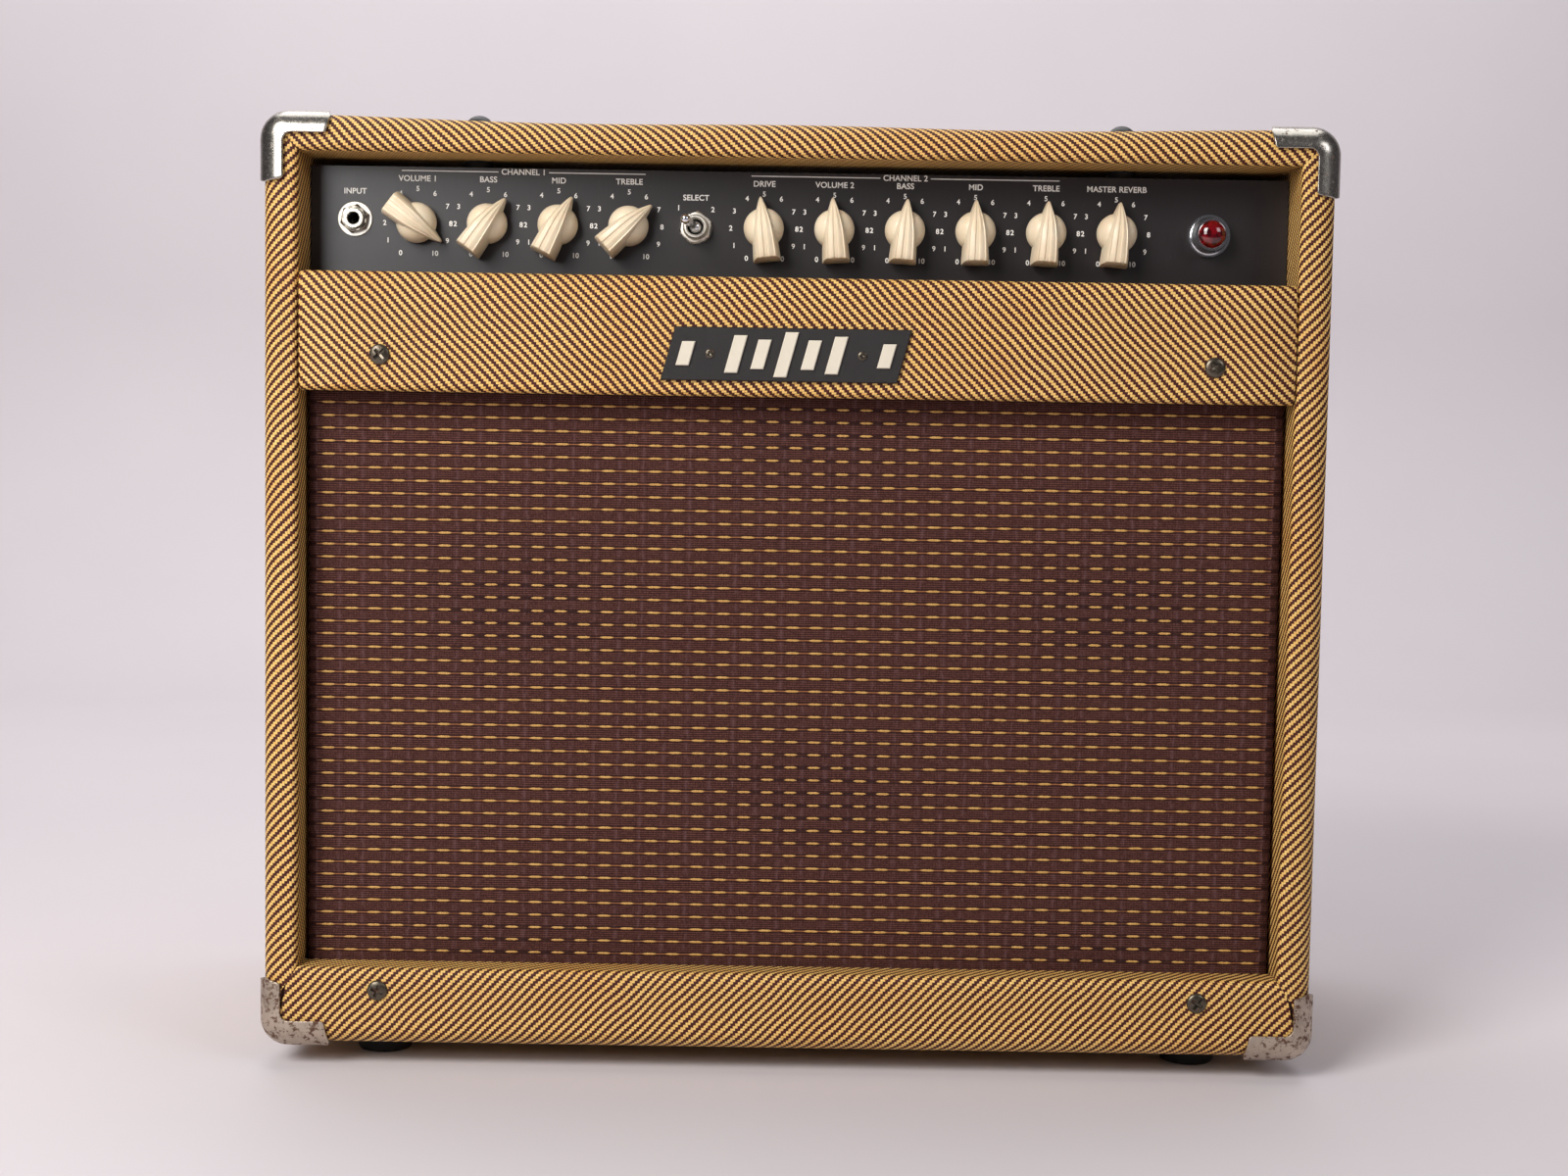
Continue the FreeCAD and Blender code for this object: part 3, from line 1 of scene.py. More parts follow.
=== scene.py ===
"""Looks of the combo guitar amplifier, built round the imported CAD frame.

Lengths are in millimetres inside the builders and are turned into metres when a mesh is made.  The row
frame has +Z up and the front of the cabinet facing -Y.
"""
import json
import math
import random

import bmesh
import bpy
from mathutils import Matrix, Vector


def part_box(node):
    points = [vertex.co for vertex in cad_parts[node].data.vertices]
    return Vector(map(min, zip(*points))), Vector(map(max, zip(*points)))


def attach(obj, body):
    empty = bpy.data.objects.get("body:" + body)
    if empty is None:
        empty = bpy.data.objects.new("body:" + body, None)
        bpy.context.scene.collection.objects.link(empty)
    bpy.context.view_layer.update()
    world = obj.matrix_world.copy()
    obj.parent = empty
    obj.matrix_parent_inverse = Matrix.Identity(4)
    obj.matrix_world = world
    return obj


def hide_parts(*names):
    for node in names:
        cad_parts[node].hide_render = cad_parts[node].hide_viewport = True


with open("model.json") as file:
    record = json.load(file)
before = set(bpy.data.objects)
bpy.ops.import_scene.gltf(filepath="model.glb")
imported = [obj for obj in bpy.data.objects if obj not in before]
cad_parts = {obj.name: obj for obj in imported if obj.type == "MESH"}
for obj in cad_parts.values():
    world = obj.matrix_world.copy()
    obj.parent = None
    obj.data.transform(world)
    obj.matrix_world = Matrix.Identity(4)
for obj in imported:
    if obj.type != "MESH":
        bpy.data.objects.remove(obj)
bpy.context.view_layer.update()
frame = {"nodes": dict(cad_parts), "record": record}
MM = 0.001


def node_box(name):
    """Lowest and highest corner of a CAD node, in millimetres."""
    low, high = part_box(name)
    return low / MM, high / MM


# ---------------------------------------------------------------- places taken from the frame
SIDE_LOW, SIDE_HIGH = node_box("side_board_left")
TOP_LOW, TOP_HIGH = node_box("top_board")
RAIL_LOW, RAIL_HIGH = node_box("lower_front_rail")
PANEL_LOW, PANEL_HIGH = node_box("upper_front_panel")
PLATE_LOW, PLATE_HIGH = node_box("control_panel")
CLOTH_LOW, CLOTH_HIGH = node_box("grille_cloth")
LEFT = TOP_LOW.x
RIGHT = TOP_HIGH.x
FRONT = SIDE_LOW.y
BACK = SIDE_HIGH.y
BOTTOM = SIDE_LOW.z
TOP = SIDE_HIGH.z
DEPTH = BACK - FRONT
BOARD = SIDE_HIGH.x - SIDE_LOW.x
INNER = RIGHT - BOARD
RAIL_INSET = RAIL_HIGH.z - BOTTOM

CORNER_RADIUS = 12.0
EDGE_RADIUS = 9.5
INNER_ROUND = 3.5

THREAD = 1.22
STRIPE_CELLS = 4.0


# ---------------------------------------------------------------- materials
def linear(red, green, blue):
    """An 8-bit sRGB colour as linear light with alpha."""
    channels = []
    for value in (red, green, blue):
        share = value / 255
        channels.append(share / 12.92 if share <= 0.04045 else ((share + 0.055) / 1.055) ** 2.4)
    return (*channels, 1.0)


class Graph:
    """A material's node tree, with short calls for the nodes that this script needs."""

    def __init__(self, name, **sockets):
        self.material = bpy.data.materials.new(name)
        self.material.use_nodes = True
        self.tree = self.material.node_tree
        self.shader = self.tree.nodes["Principled BSDF"]
        for socket, value in sockets.items():
            self.shader.inputs[socket.replace("_", " ")].default_value = value

    def node(self, kind, **settings):
        made = self.tree.nodes.new(kind)
        for key, value in settings.items():
            setattr(made, key, value)
        return made

    def feed(self, value, socket):
        """Link value to socket, or set it there if it is a plain value."""
        if isinstance(value, bpy.types.NodeSocket):
            self.tree.links.new(value, socket)
        else:
            socket.default_value = value

    def math(self, operation, first, second=0.0, third=0.0):
        made = self.node("ShaderNodeMath", operation=operation)
        for value, socket in zip((first, second, third), made.inputs):
            self.feed(value, socket)
        return made.outputs[0]

    def plus(self, first, second):
        return self.math("ADD", first, second)

    def minus(self, first, second):
        return self.math("SUBTRACT", first, second)

    def times(self, first, second):
        return self.math("MULTIPLY", first, second)

    def over(self, first, second):
        return self.math("DIVIDE", first, second)

    def fract(self, value):
        return self.math("FRACT", value)

    def off_half(self, value):
        """How far value is from one half."""
        return self.math("ABSOLUTE", self.math("SUBTRACT", value, 0.5))

    def step(self, value, low, high):
        """Rise smoothly from 0 at low to 1 at high."""
        made = self.node("ShaderNodeMapRange", interpolation_type="SMOOTHSTEP")
        self.feed(value, made.inputs["Value"])
        made.inputs["From Min"].default_value = low
        made.inputs["From Max"].default_value = high
        return made.outputs["Result"]

    def mix(self, factor, first, second, blend="MIX"):
        made = self.node("ShaderNodeMix", data_type="RGBA", blend_type=blend)
        self.feed(factor, made.inputs[0])
        self.feed(first, made.inputs[6])
        self.feed(second, made.inputs[7])
        return made.outputs[2]

    def uv(self):
        """The UV's two parts, in metres along the threads and across them."""
        made = self.node("ShaderNodeUVMap", uv_map="weave")
        split = self.node("ShaderNodeSeparateXYZ")
        self.tree.links.new(made.outputs[0], split.inputs[0])
        return split.outputs[0], split.outputs[1]

    def place(self):
        """The point's place in the object, in metres."""
        return self.node("ShaderNodeTexCoord").outputs["Object"]

    def stretched(self, vector, scale):
        made = self.node("ShaderNodeMapping")
        self.feed(vector, made.inputs["Vector"])
        made.inputs["Scale"].default_value = scale
        return made.outputs[0]

    def noise(self, vector, scale, detail=2.0, roughness=0.5):
        made = self.node("ShaderNodeTexNoise")
        self.feed(vector, made.inputs["Vector"])
        made.inputs["Scale"].default_value = scale
        made.inputs["Detail"].default_value = detail
        made.inputs["Roughness"].default_value = roughness
        return made.outputs["Fac"]

    def bump(self, height, strength, distance):
        made = self.node("ShaderNodeBump")
        self.feed(height, made.inputs["Height"])
        made.inputs["Strength"].default_value = strength
        made.inputs["Distance"].default_value = distance
        self.feed(made.outputs[0], self.shader.inputs["Normal"])

    def colour(self, value):
        self.feed(value, self.shader.inputs["Base Color"])

    def roughness(self, value):
        self.feed(value, self.shader.inputs["Roughness"])


def tweed(name, lean, stain=0.0):
    """Lacquered twill: rows of cream and brown threads, each row a cell further along than the last.

    UVs are in metres along the threads and across them.  lean is +1 or -1 for the way the stripes lean.
    """
    g = Graph(name, Roughness=0.55, Specular_IOR_Level=0.3)
    place = g.place()
    u, v = g.uv()
    drift = g.times(g.minus(g.noise(place, 38.0, 1.0), 0.5), 0.0016)
    fuzz = g.times(g.minus(g.noise(place, 900.0, 1.0), 0.5), 0.0004)
    along = g.over(g.plus(g.plus(u, drift), fuzz), THREAD * MM)
    across = g.over(g.plus(v, g.times(drift, 0.6)), THREAD * MM)
    row = g.math("FLOOR", across)
    in_row = g.fract(across)
    cell = g.plus(along, g.times(row, lean))
    phase = g.fract(g.over(cell, STRIPE_CELLS))
    off_centre = g.off_half(phase)
    brown = g.step(off_centre, 0.225, 0.25)
    thread = g.off_half(in_row)
    knot = g.off_half(g.fract(cell))
    edge = g.math("MAXIMUM", thread, g.times(knot, 0.8))
    crease = g.step(edge, 0.26, 0.52)

    blotch = g.noise(place, 14.0, 3.0, 0.6)
    grain = g.noise(place, 1300.0, 2.0, 0.7)
    cream = g.mix(g.step(grain, 0.3, 0.72), linear(232, 171, 85), linear(255, 223, 141))
    aged = g.mix(g.times(g.step(blotch, 0.5, 0.75), 0.6), cream, linear(236, 176, 92))
    if stain:
        spots = g.noise(g.stretched(place, (1.0, 1.0, 0.6)), 9.0, 4.0, 0.7)
        left = g.node("ShaderNodeSeparateXYZ")
        g.feed(place, left.inputs[0])
        near_left = g.minus(1.0, g.step(left.outputs[0], -0.24, -0.02))
        amber = g.times(g.times(g.step(spots, 0.45, 0.66), near_left), stain)
        aged = g.mix(amber, aged, linear(236, 158, 48))
    maroon = g.mix(g.step(grain, 0.3, 0.7), linear(46, 10, 6), linear(92, 34, 22))
    woven = g.mix(brown, aged, maroon)
    shade = g.mix(g.times(crease, 0.34), woven, linear(60, 24, 14))
    scuffs = g.step(g.noise(place, 120.0, 4.0, 0.8), 0.73, 0.80)
    g.colour(g.mix(g.times(scuffs, 0.5), shade, linear(228, 208, 178)))
    height = g.minus(1.0, g.times(g.math("POWER", edge, 2.0), 3.4))
    g.bump(g.plus(height, g.times(grain, 0.3)), 0.55, 0.00035)
    return g.material


def grille_weave():
    """Dark oxblood cloth: fine ribs between the gold rows, crossed by fine warp threads."""
    g = Graph("grille_weave", Roughness=0.85, Specular_IOR_Level=0.25)
    place = g.place()
    u, v = g.uv()
    wander = g.times(g.minus(g.noise(place, 60.0, 1.0), 0.5), 0.0005)
    rib = g.fract(g.over(g.plus(v, wander), GOLD_ROW * MM / RIBS_PER_ROW))
    ribs = g.off_half(rib)
    warp = g.fract(g.over(g.plus(u, wander), GOLD_DASH * MM / WARPS_PER_DASH))
    warps = g.off_half(warp)
    gap = g.fract(g.plus(g.over(u, GOLD_DASH * MM), 0.5))
    gaps = g.off_half(gap)
    lilac = g.step(gaps, 0.36, 0.48)
    grain = g.noise(place, 1500.0, 2.0, 0.7)
    cloud = g.noise(place, 9.0, 3.0, 0.6)
    base = g.mix(g.step(grain, 0.3, 0.7), linear(64, 31, 25), linear(106, 66, 57))
    base = g.mix(g.times(g.step(cloud, 0.35, 0.7), 0.12), base, linear(70, 36, 30))
    deep = g.mix(g.step(ribs, 0.22, 0.42), base, linear(38, 12, 10))
    deep = g.mix(g.times(g.step(warps, 0.2, 0.45), 0.35), deep, linear(42, 14, 12))
    broken = g.step(g.noise(g.stretched(place, (1.0, 1.0, 0.25)), 700.0, 1.0), 0.38, 0.6)
    pale = g.times(g.times(lilac, broken), 0.22)
    row = g.fract(g.plus(g.over(v, GOLD_ROW * MM), 0.5))
    near_gold = g.off_half(row)
    shadow = g.times(g.minus(1.0, g.step(near_gold, 0.10, 0.20)), 0.75)
    g.colour(g.mix(shadow, g.mix(pale, deep, linear(126, 96, 100)), linear(34, 8, 6)))
    height = g.minus(g.plus(lilac, grain), g.times(ribs, 1.6))
    g.bump(height, 0.5, 0.0003)
    return g.material


def gold_thread():
    """Gold dashes with a slight braid; the thread between them is thin and reddish."""
    g = Graph("gold_thread", Roughness=0.5, Specular_IOR_Level=0.4)
    u, v = g.uv()
    dash = g.off_half(g.fract(g.plus(g.over(u, GOLD_DASH * MM), 0.5)))
    between = g.step(dash, 0.20, 0.34)
    braid = g.fract(g.plus(g.over(u, 0.0012), g.times(v, 2.0)))
    dark = g.step(g.off_half(braid), 0.3, 0.5)
    gold = g.mix(g.noise(g.place(), 500.0, 2.0), linear(182, 127, 58), linear(230, 186, 108))
    gold = g.mix(g.times(dark, 0.6), gold, linear(116, 66, 30))
    g.colour(g.mix(between, gold, linear(150, 92, 48)))
    g.bump(dark, 0.4, 0.0002)
    return g.material


def worn_nickel(name, wear, tint, roughness):
    """Nickel plate with dull patches and brown rust that spreads with wear, from 0 to 1."""
    g = Graph(name)
    place = g.place()
    patch = g.noise(place, 70.0, 4.0, 0.7)
    fine = g.noise(place, 900.0, 3.0, 0.7)
    mottle = g.noise(place, 330.0, 4.0, 0.75)
    spread = g.plus(mottle, g.times(patch, 0.35))
    rust = g.step(spread, 0.80 - 0.11 * wear, 0.86 - 0.09 * wear)
    plate = g.mix(g.step(patch, 0.35, 0.7), tint, tuple(c * 0.72 for c in tint[:3]) + (1.0,))
    g.colour(g.mix(rust, plate, linear(96, 66, 50)))
    dull = g.plus(roughness, g.times(g.minus(fine, 0.5), 0.25))
    g.roughness(g.plus(dull, g.times(rust, 0.4)))
    g.feed(g.minus(1.0, g.times(rust, 0.8)), g.shader.inputs["Metallic"])
    g.bump(g.minus(g.times(mottle, 0.5), rust), 0.3, 0.0002)
    return g.material


def smooth_metal(name, tint, roughness, scale=240.0):
    """Plated or polished metal with slight smears."""
    g = Graph(name, Metallic=1.0)
    smear = g.noise(g.place(), scale, 3.0, 0.6)
    g.colour(g.mix(smear, tint, tuple(c * 0.82 for c in tint[:3]) + (1.0,)))
    g.roughness(g.plus(roughness - 0.04, g.times(smear, 0.1)))
    g.bump(smear, 0.08, 0.0002)
    return g.material


def plain(name, colour, roughness, mottle=0.12, scale=160.0, bump=0.15, **sockets):
    """A moulded, painted or pressed surface with slight mottling and texture."""
    g = Graph(name, **sockets)
    place = g.place()
    cloud = g.noise(place, scale, 3.0, 0.6)
    fine = g.noise(place, scale * 9, 2.0, 0.6)
    darker = tuple(c * (1 - mottle) for c in colour[:3]) + (1.0,)
    g.colour(g.mix(cloud, colour, darker))
    g.roughness(g.plus(roughness - 0.05, g.times(cloud, 0.1)))
    g.bump(fine, bump, 0.0002)
    return g.material


def ivory():
    """Aged ivory plastic, browner in soft random clouds, with fine brown specks."""
    g = Graph("ivory_plastic", Subsurface_Weight=0.08, Subsurface_Scale=0.003, Specular_IOR_Level=0.5)
    place = g.place()
    cloud = g.noise(place, 60.0, 2.0, 0.5)
    fine = g.noise(place, 1600.0, 2.0, 0.7)
    body = g.mix(g.step(cloud, 0.3, 0.75), linear(238, 221, 192), linear(228, 208, 176))
    g.colour(g.mix(g.step(fine, 0.70, 0.85), body, linear(208, 184, 148)))
    g.roughness(g.plus(0.30, g.times(cloud, 0.12)))
    g.bump(fine, 0.05, 0.0001)
    return g.material


def control_paint():
    """Satin charcoal paint over upright brush marks, with fine dust specks."""
    g = Graph("control_paint", Specular_IOR_Level=0.75)
    place = g.place()
    fine = g.noise(g.stretched(place, (1.0, 1.0, 0.06)), 1500.0, 2.0, 0.7)
    dust = g.step(g.noise(place, 700.0, 3.0, 0.8), 0.70, 0.76)
    base = g.mix(fine, linear(38, 31, 32), linear(24, 19, 20))
    g.colour(g.mix(g.times(dust, 0.35), base, linear(150, 140, 138)))
    g.roughness(g.plus(0.32, g.times(fine, 0.12)))
    g.bump(fine, 0.12, 0.0001)
    return g.material


def plywood():
    """Plain board with long grain along X."""
    g = Graph("plywood", Roughness=0.75)
    grain = g.noise(g.stretched(g.place(), (6.0, 60.0, 90.0)), 1.0, 5.0, 0.65)
    g.colour(g.mix(g.step(grain, 0.3, 0.7), linear(196, 158, 110), linear(150, 112, 72)))
    g.bump(grain, 0.3, 0.0004)
    return g.material


def jewel_glass():
    """Ruby glass."""
    g = Graph("ruby_glass", Roughness=0.05, IOR=1.52, Coat_Weight=0.6, Coat_Roughness=0.03)
    depth = g.noise(g.place(), 260.0, 2.0)
    g.colour(g.mix(g.step(depth, 0.35, 0.65), linear(120, 4, 16), linear(52, 0, 6)))
    return g.material


def clear_glass():
    """Valve glass with a silvery getter patch near the crown."""
    g = Graph("valve_glass", Roughness=0.04, IOR=1.45, Transmission_Weight=0.92)
    split = g.node("ShaderNodeSeparateXYZ")
    g.feed(g.place(), split.inputs[0])
    g.colour(g.mix(g.step(split.outputs[2], 0.302, 0.318), linear(120, 122, 126), linear(236, 240, 238)))
    return g.material


# ---------------------------------------------------------------- mesh building
class Maker:
    """Collects faces in millimetres and makes one object of them."""

    def __init__(self):
        self.points = []
        self.faces = []
        self.slots = []
        self.uvs = []

    def add(self, points, faces, matrix=None, slot=0, uvs=None):
        """Add points with faces; uvs is one (u, v) for each corner of each face."""
        first = len(self.points)
        for point in points:
            self.points.append(matrix @ Vector(point) if matrix else Vector(point))
        for i, face in enumerate(faces):
            self.faces.append([first + corner for corner in face])
            self.slots.append(slot)
            self.uvs.append(uvs[i] if uvs else [(0.0, 0.0)] * len(face))

    def grid(self, rows, matrix=None, slot=0, uv_rows=None, close_rows=False):
        """Add a sheet of quads through rows of points.  close_rows joins each row's ends."""
        count = len(rows[0])
        points = [point for row in rows for point in row]
        faces = []
        uvs = []
        for i in range(len(rows) - 1):
            below = i + 1
            for k in range(count if close_rows else count - 1):
                after = (k + 1) % count
                faces.append([i * count + k, i * count + after, below * count + after, below * count + k])
                if uv_rows:
                    low, high = uv_rows[i], uv_rows[below]
                    uvs.append([low[k], low[after], high[after], high[k]])
        self.add(points, faces, matrix, slot, uvs or None)

    def lathe(self, profile, matrix, segments=40, slot=0):
        """Turn (radius, height) points round the local Z axis."""
        rows = []
        for radius, height in profile:
            rows.append([(radius * math.cos(2 * math.pi * k / segments),
                          radius * math.sin(2 * math.pi * k / segments), height) for k in range(segments)])
        self.grid(rows, matrix, slot, close_rows=True)

    def build(self, name, body, materials, slot_name, replaces=(), smooth=40.0, merge=0.001):
        """Make the object, weld it, shade it, hang it under its body's empty and hide the CAD nodes it
        replaces.
        """
        mesh = bpy.data.meshes.new(name)
        mesh.from_pydata([point * MM for point in self.points], [], self.faces)
        layer = mesh.uv_layers.new(name="weave")
        corner = 0
        for face_uvs in self.uvs:
            for u, v in face_uvs:
                layer.data[corner].uv = (u * MM, v * MM)
                corner += 1
        for material in materials:
            mesh.materials.append(material)
        for polygon, slot in zip(mesh.polygons, self.slots):
            polygon.material_index = slot
        work = bmesh.new()
        work.from_mesh(mesh)
        bmesh.ops.remove_doubles(work, verts=work.verts, dist=merge * MM)
        bmesh.ops.dissolve_degenerate(work, edges=work.edges, dist=merge * MM * 0.5)
        bmesh.ops.recalc_face_normals(work, faces=work.faces)
        for face in work.faces:
            face.smooth = True
        work.to_mesh(mesh)
        work.free()
        mesh.set_sharp_from_angle(angle=math.radians(smooth))
        piece = bpy.data.objects.new(name, mesh)
        bpy.context.scene.collection.objects.link(piece)
        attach(piece, body)
        if replaces:
            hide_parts(*replaces)
        return piece


def facing(direction, x, y, z, clockwise=0.0):
    """Matrix for a piece whose local Z points along direction; clockwise turns it as seen from there."""
    turns = {
        "-Y": Matrix.Rotation(math.pi / 2, 4, "X"),
        "+Y": Matrix.Rotation(math.pi, 4, "Z") @ Matrix.Rotation(math.pi / 2, 4, "X"),
        "+Z": Matrix.Identity(4),
        "-Z": Matrix.Rotation(math.pi, 4, "X"),
    }
    spin = Matrix.Rotation(-math.radians(clockwise), 4, "Z")
    return Matrix.Translation((x, y, z)) @ turns[direction] @ spin


def arc(centre, radius, start, end, steps):
    """Points of an arc in a plane, angles in degrees, both ends included."""
    points = []
    for k in range(steps + 1):
        angle = math.radians(start + (end - start) * k / steps)
        points.append((centre[0] + radius * math.cos(angle), centre[1] + radius * math.sin(angle)))
    return points


# ---------------------------------------------------------------- tweed cabinet
def board_section(rail_inset=None):
    """The loop round a board, as (inset from the outer face, depth): inner wall, front, outside, back."""
    inner = BOARD
    loop = [(inner, DEPTH - INNER_ROUND), (inner, DEPTH / 2), (inner, BOARD)]
    if rail_inset:
        inner = rail_inset
        loop.append((inner, BOARD))
    loop += arc((inner - INNER_ROUND, INNER_ROUND), INNER_ROUND, 0, -90, 5)
    if rail_inset:
        loop += [(inner - 8, 0), (BOARD + 3, 0), (BOARD, 0)]
    loop += arc((EDGE_RADIUS, EDGE_RADIUS), EDGE_RADIUS, -90, -180, 8)
    loop += [(0, DEPTH * share) for share in (0.25, 0.5, 0.75)]
    loop += arc((EDGE_RADIUS, DEPTH - EDGE_RADIUS), EDGE_RADIUS, 180, 90, 8)
    loop += arc((BOARD - INNER_ROUND, DEPTH - INNER_ROUND), INNER_ROUND, 90, 0, 5)[:-1]
    return loop


SEAM_SLOPE = 1.55


def side_low_end(inset, depth):
    """Where a side board's front face ends above the rail, as a share of the way along, or None."""
    if depth < BOARD and inset >= EDGE_RADIUS - 0.01:
        return RAIL_INSET - SEAM_SLOPE * (BOARD - inset)
    return None


def rail_end(inset, depth):
    """Where the rail's front face ends beside the side board, or None."""
    if depth > BOARD + 0.01 or inset < EDGE_RADIUS - 0.01 or (inset < BOARD and depth > 0.01):
        return None
    return max(BOARD - (RAIL_INSET - inset) / SEAM_SLOPE, EDGE_RADIUS)


def sweep_board(maker, loop, low, high, to_row, low_end, high_end):
    """Run a board's loop from low to high, with rounded outer corners and mitred ends."""
    rows = []
    uv_rows = []
    v = 0.0
    steps = 24
    arc_steps = 4
    for i, (inset, depth) in enumerate(loop):
        if i:
            v += math.dist(loop[i - 1], loop[i])
        round_radius = max(CORNER_RADIUS - inset, 0.0)
        centre = max(CORNER_RADIUS, inset)
        cut_low = low_end(inset, depth)
        cut_high = high_end(inset, depth)
        start = low + (centre if cut_low is None else cut_low)
        end = high - (centre if cut_high is None else cut_high)
        row = []
        uv_row = []
        for k in range(arc_steps):
            angle = math.radians(45 + 45 * k / arc_steps)
            turn = 0.0 if cut_low is not None else round_radius
            row.append((start - turn * math.cos(angle), centre - turn * math.sin(angle) if turn else inset))
            uv_row.append(start - turn * (math.pi / 2 - angle))
        for k in range(steps + 1):
            row.append((start + (end - start) * k / steps, inset))
            uv_row.append(row[-1][0])
        for k in range(1, arc_steps + 1):
            angle = math.radians(90 - 45 * k / arc_steps)
            turn = 0.0 if cut_high is not None else round_radius
            row.append((end + turn * math.cos(angle), centre - turn * math.sin(angle) if turn else inset))
            uv_row.append(end + turn * (math.pi / 2 - angle))
        rows.append([to_row(s, n, depth) for s, n in row])
        uv_rows.append([(u, v) for u in uv_row])
    total = v + math.dist(loop[-1], loop[0])
    closing = uv_rows + [[(a, b + total) for a, b in uv_rows[0]]]
    maker.grid(rows + [rows[0]], uv_rows=closing)
    for end in (0, -1):
        maker.add([row[end] for row in rows], [list(range(len(rows)))])


def no_cut(inset, depth):
    """An ordinary mitred end."""
    return None


DIP_REACH = 225.0
DIP_DEPTH = 80.0


def top_edge_dip(x, inset, depth):
    """How far the top board's front edge is rounded over lower than its corners."""
    share = min(abs(x) / DIP_REACH, 1.0)
    dip = 1.0 - 1.4 * share ** 4 + 1.2 * math.sin(math.pi * share) ** 2
    return dip * (1 - inset / BOARD) * max(0.0, 1 - depth / DIP_DEPTH)


def make_cabinet(cloth_lean_down, cloth_lean_up):
    """The four tweed-covered boards; the bottom one carries the lower front rail."""
    boards = {
        "tweed_top": (board_section(), LEFT, RIGHT,
                      lambda s, n, y: (s, FRONT + y, TOP - n - top_edge_dip(s, n, y)), no_cut, no_cut,
                      cloth_lean_down, ["top_board"]),
        "tweed_bottom": (board_section(RAIL_INSET), LEFT, RIGHT, lambda s, n, y: (s, FRONT + y, BOTTOM + n),
                         rail_end, rail_end, cloth_lean_down, ["bottom_board", "lower_front_rail"]),
        "tweed_side_left": (board_section(), BOTTOM, TOP, lambda s, n, y: (LEFT + n, FRONT + y, s),
                            side_low_end, no_cut, cloth_lean_down, ["side_board_left"]),
        "tweed_side_right": (board_section(), BOTTOM, TOP, lambda s, n, y: (RIGHT - n, FRONT + y, s),
                             side_low_end, no_cut, cloth_lean_up, ["side_board_right"]),
    }
    for name, (loop, low, high, to_row, low_end, high_end, material, replaced) in boards.items():
        maker = Maker()
        sweep_board(maker, loop, low, high, to_row, low_end, high_end)
        maker.build(name, "cabinet", [material], "tweed", replaced, smooth=50.0)


def plank(name, node, radius, material):
    """A tweed-covered board with rounded edges along its length, in the place of a CAD board."""
    low, high = node_box(node)
    loop = arc((low.z + radius, low.y + radius), radius, 180, 270, 5)
    loop += [(low.z + (high.z - low.z) * share, low.y) for share in (0.35, 0.65)]
    loop += arc((high.z - radius, low.y + radius), radius, 270, 360, 5)
    loop += arc((high.z - radius, high.y - radius), radius, 0, 90, 5)
    loop += arc((low.z + radius, high.y - radius), radius, 90, 180, 5)[:-1]
    stations = [(low.x, 0.8)] + [(low.x + 1.0 + (high.x - low.x - 2.0) * k / 24, 0.0) for k in range(25)]
    stations += [(high.x, 0.8)]
    middle_z = (low.z + high.z) / 2
    middle_y = (low.y + high.y) / 2
    rows = []
    uv_rows = []
    v = 0.0
    for i, (z, y) in enumerate(loop + loop[:1]):
        if i:
            v += math.dist(loop[i - 1], loop[i % len(loop)])
        pull_z = math.copysign(1.0, middle_z - z)
        pull_y = math.copysign(1.0, middle_y - y)
        rows.append([(x, y + pull_y * pull, z + pull_z * pull) for x, pull in stations])
        uv_rows.append([(x, v) for x, _ in stations])
    maker = Maker()
    maker.grid(rows, uv_rows=uv_rows)
    for end in (0, -1):
        maker.add([row[end] for row in rows[:-1]], [list(range(len(loop)))])
    return maker.build(name, "cabinet", [material], "tweed", [node], smooth=50.0)


# ---------------------------------------------------------------- grille cloth
GOLD_ROW = 6.379
GOLD_ROW_START = 56.2
GOLD_DASH = 11.57
RIBS_PER_ROW = 6
WARPS_PER_DASH = 9
CLOTH_BACK_OFF = 0.55


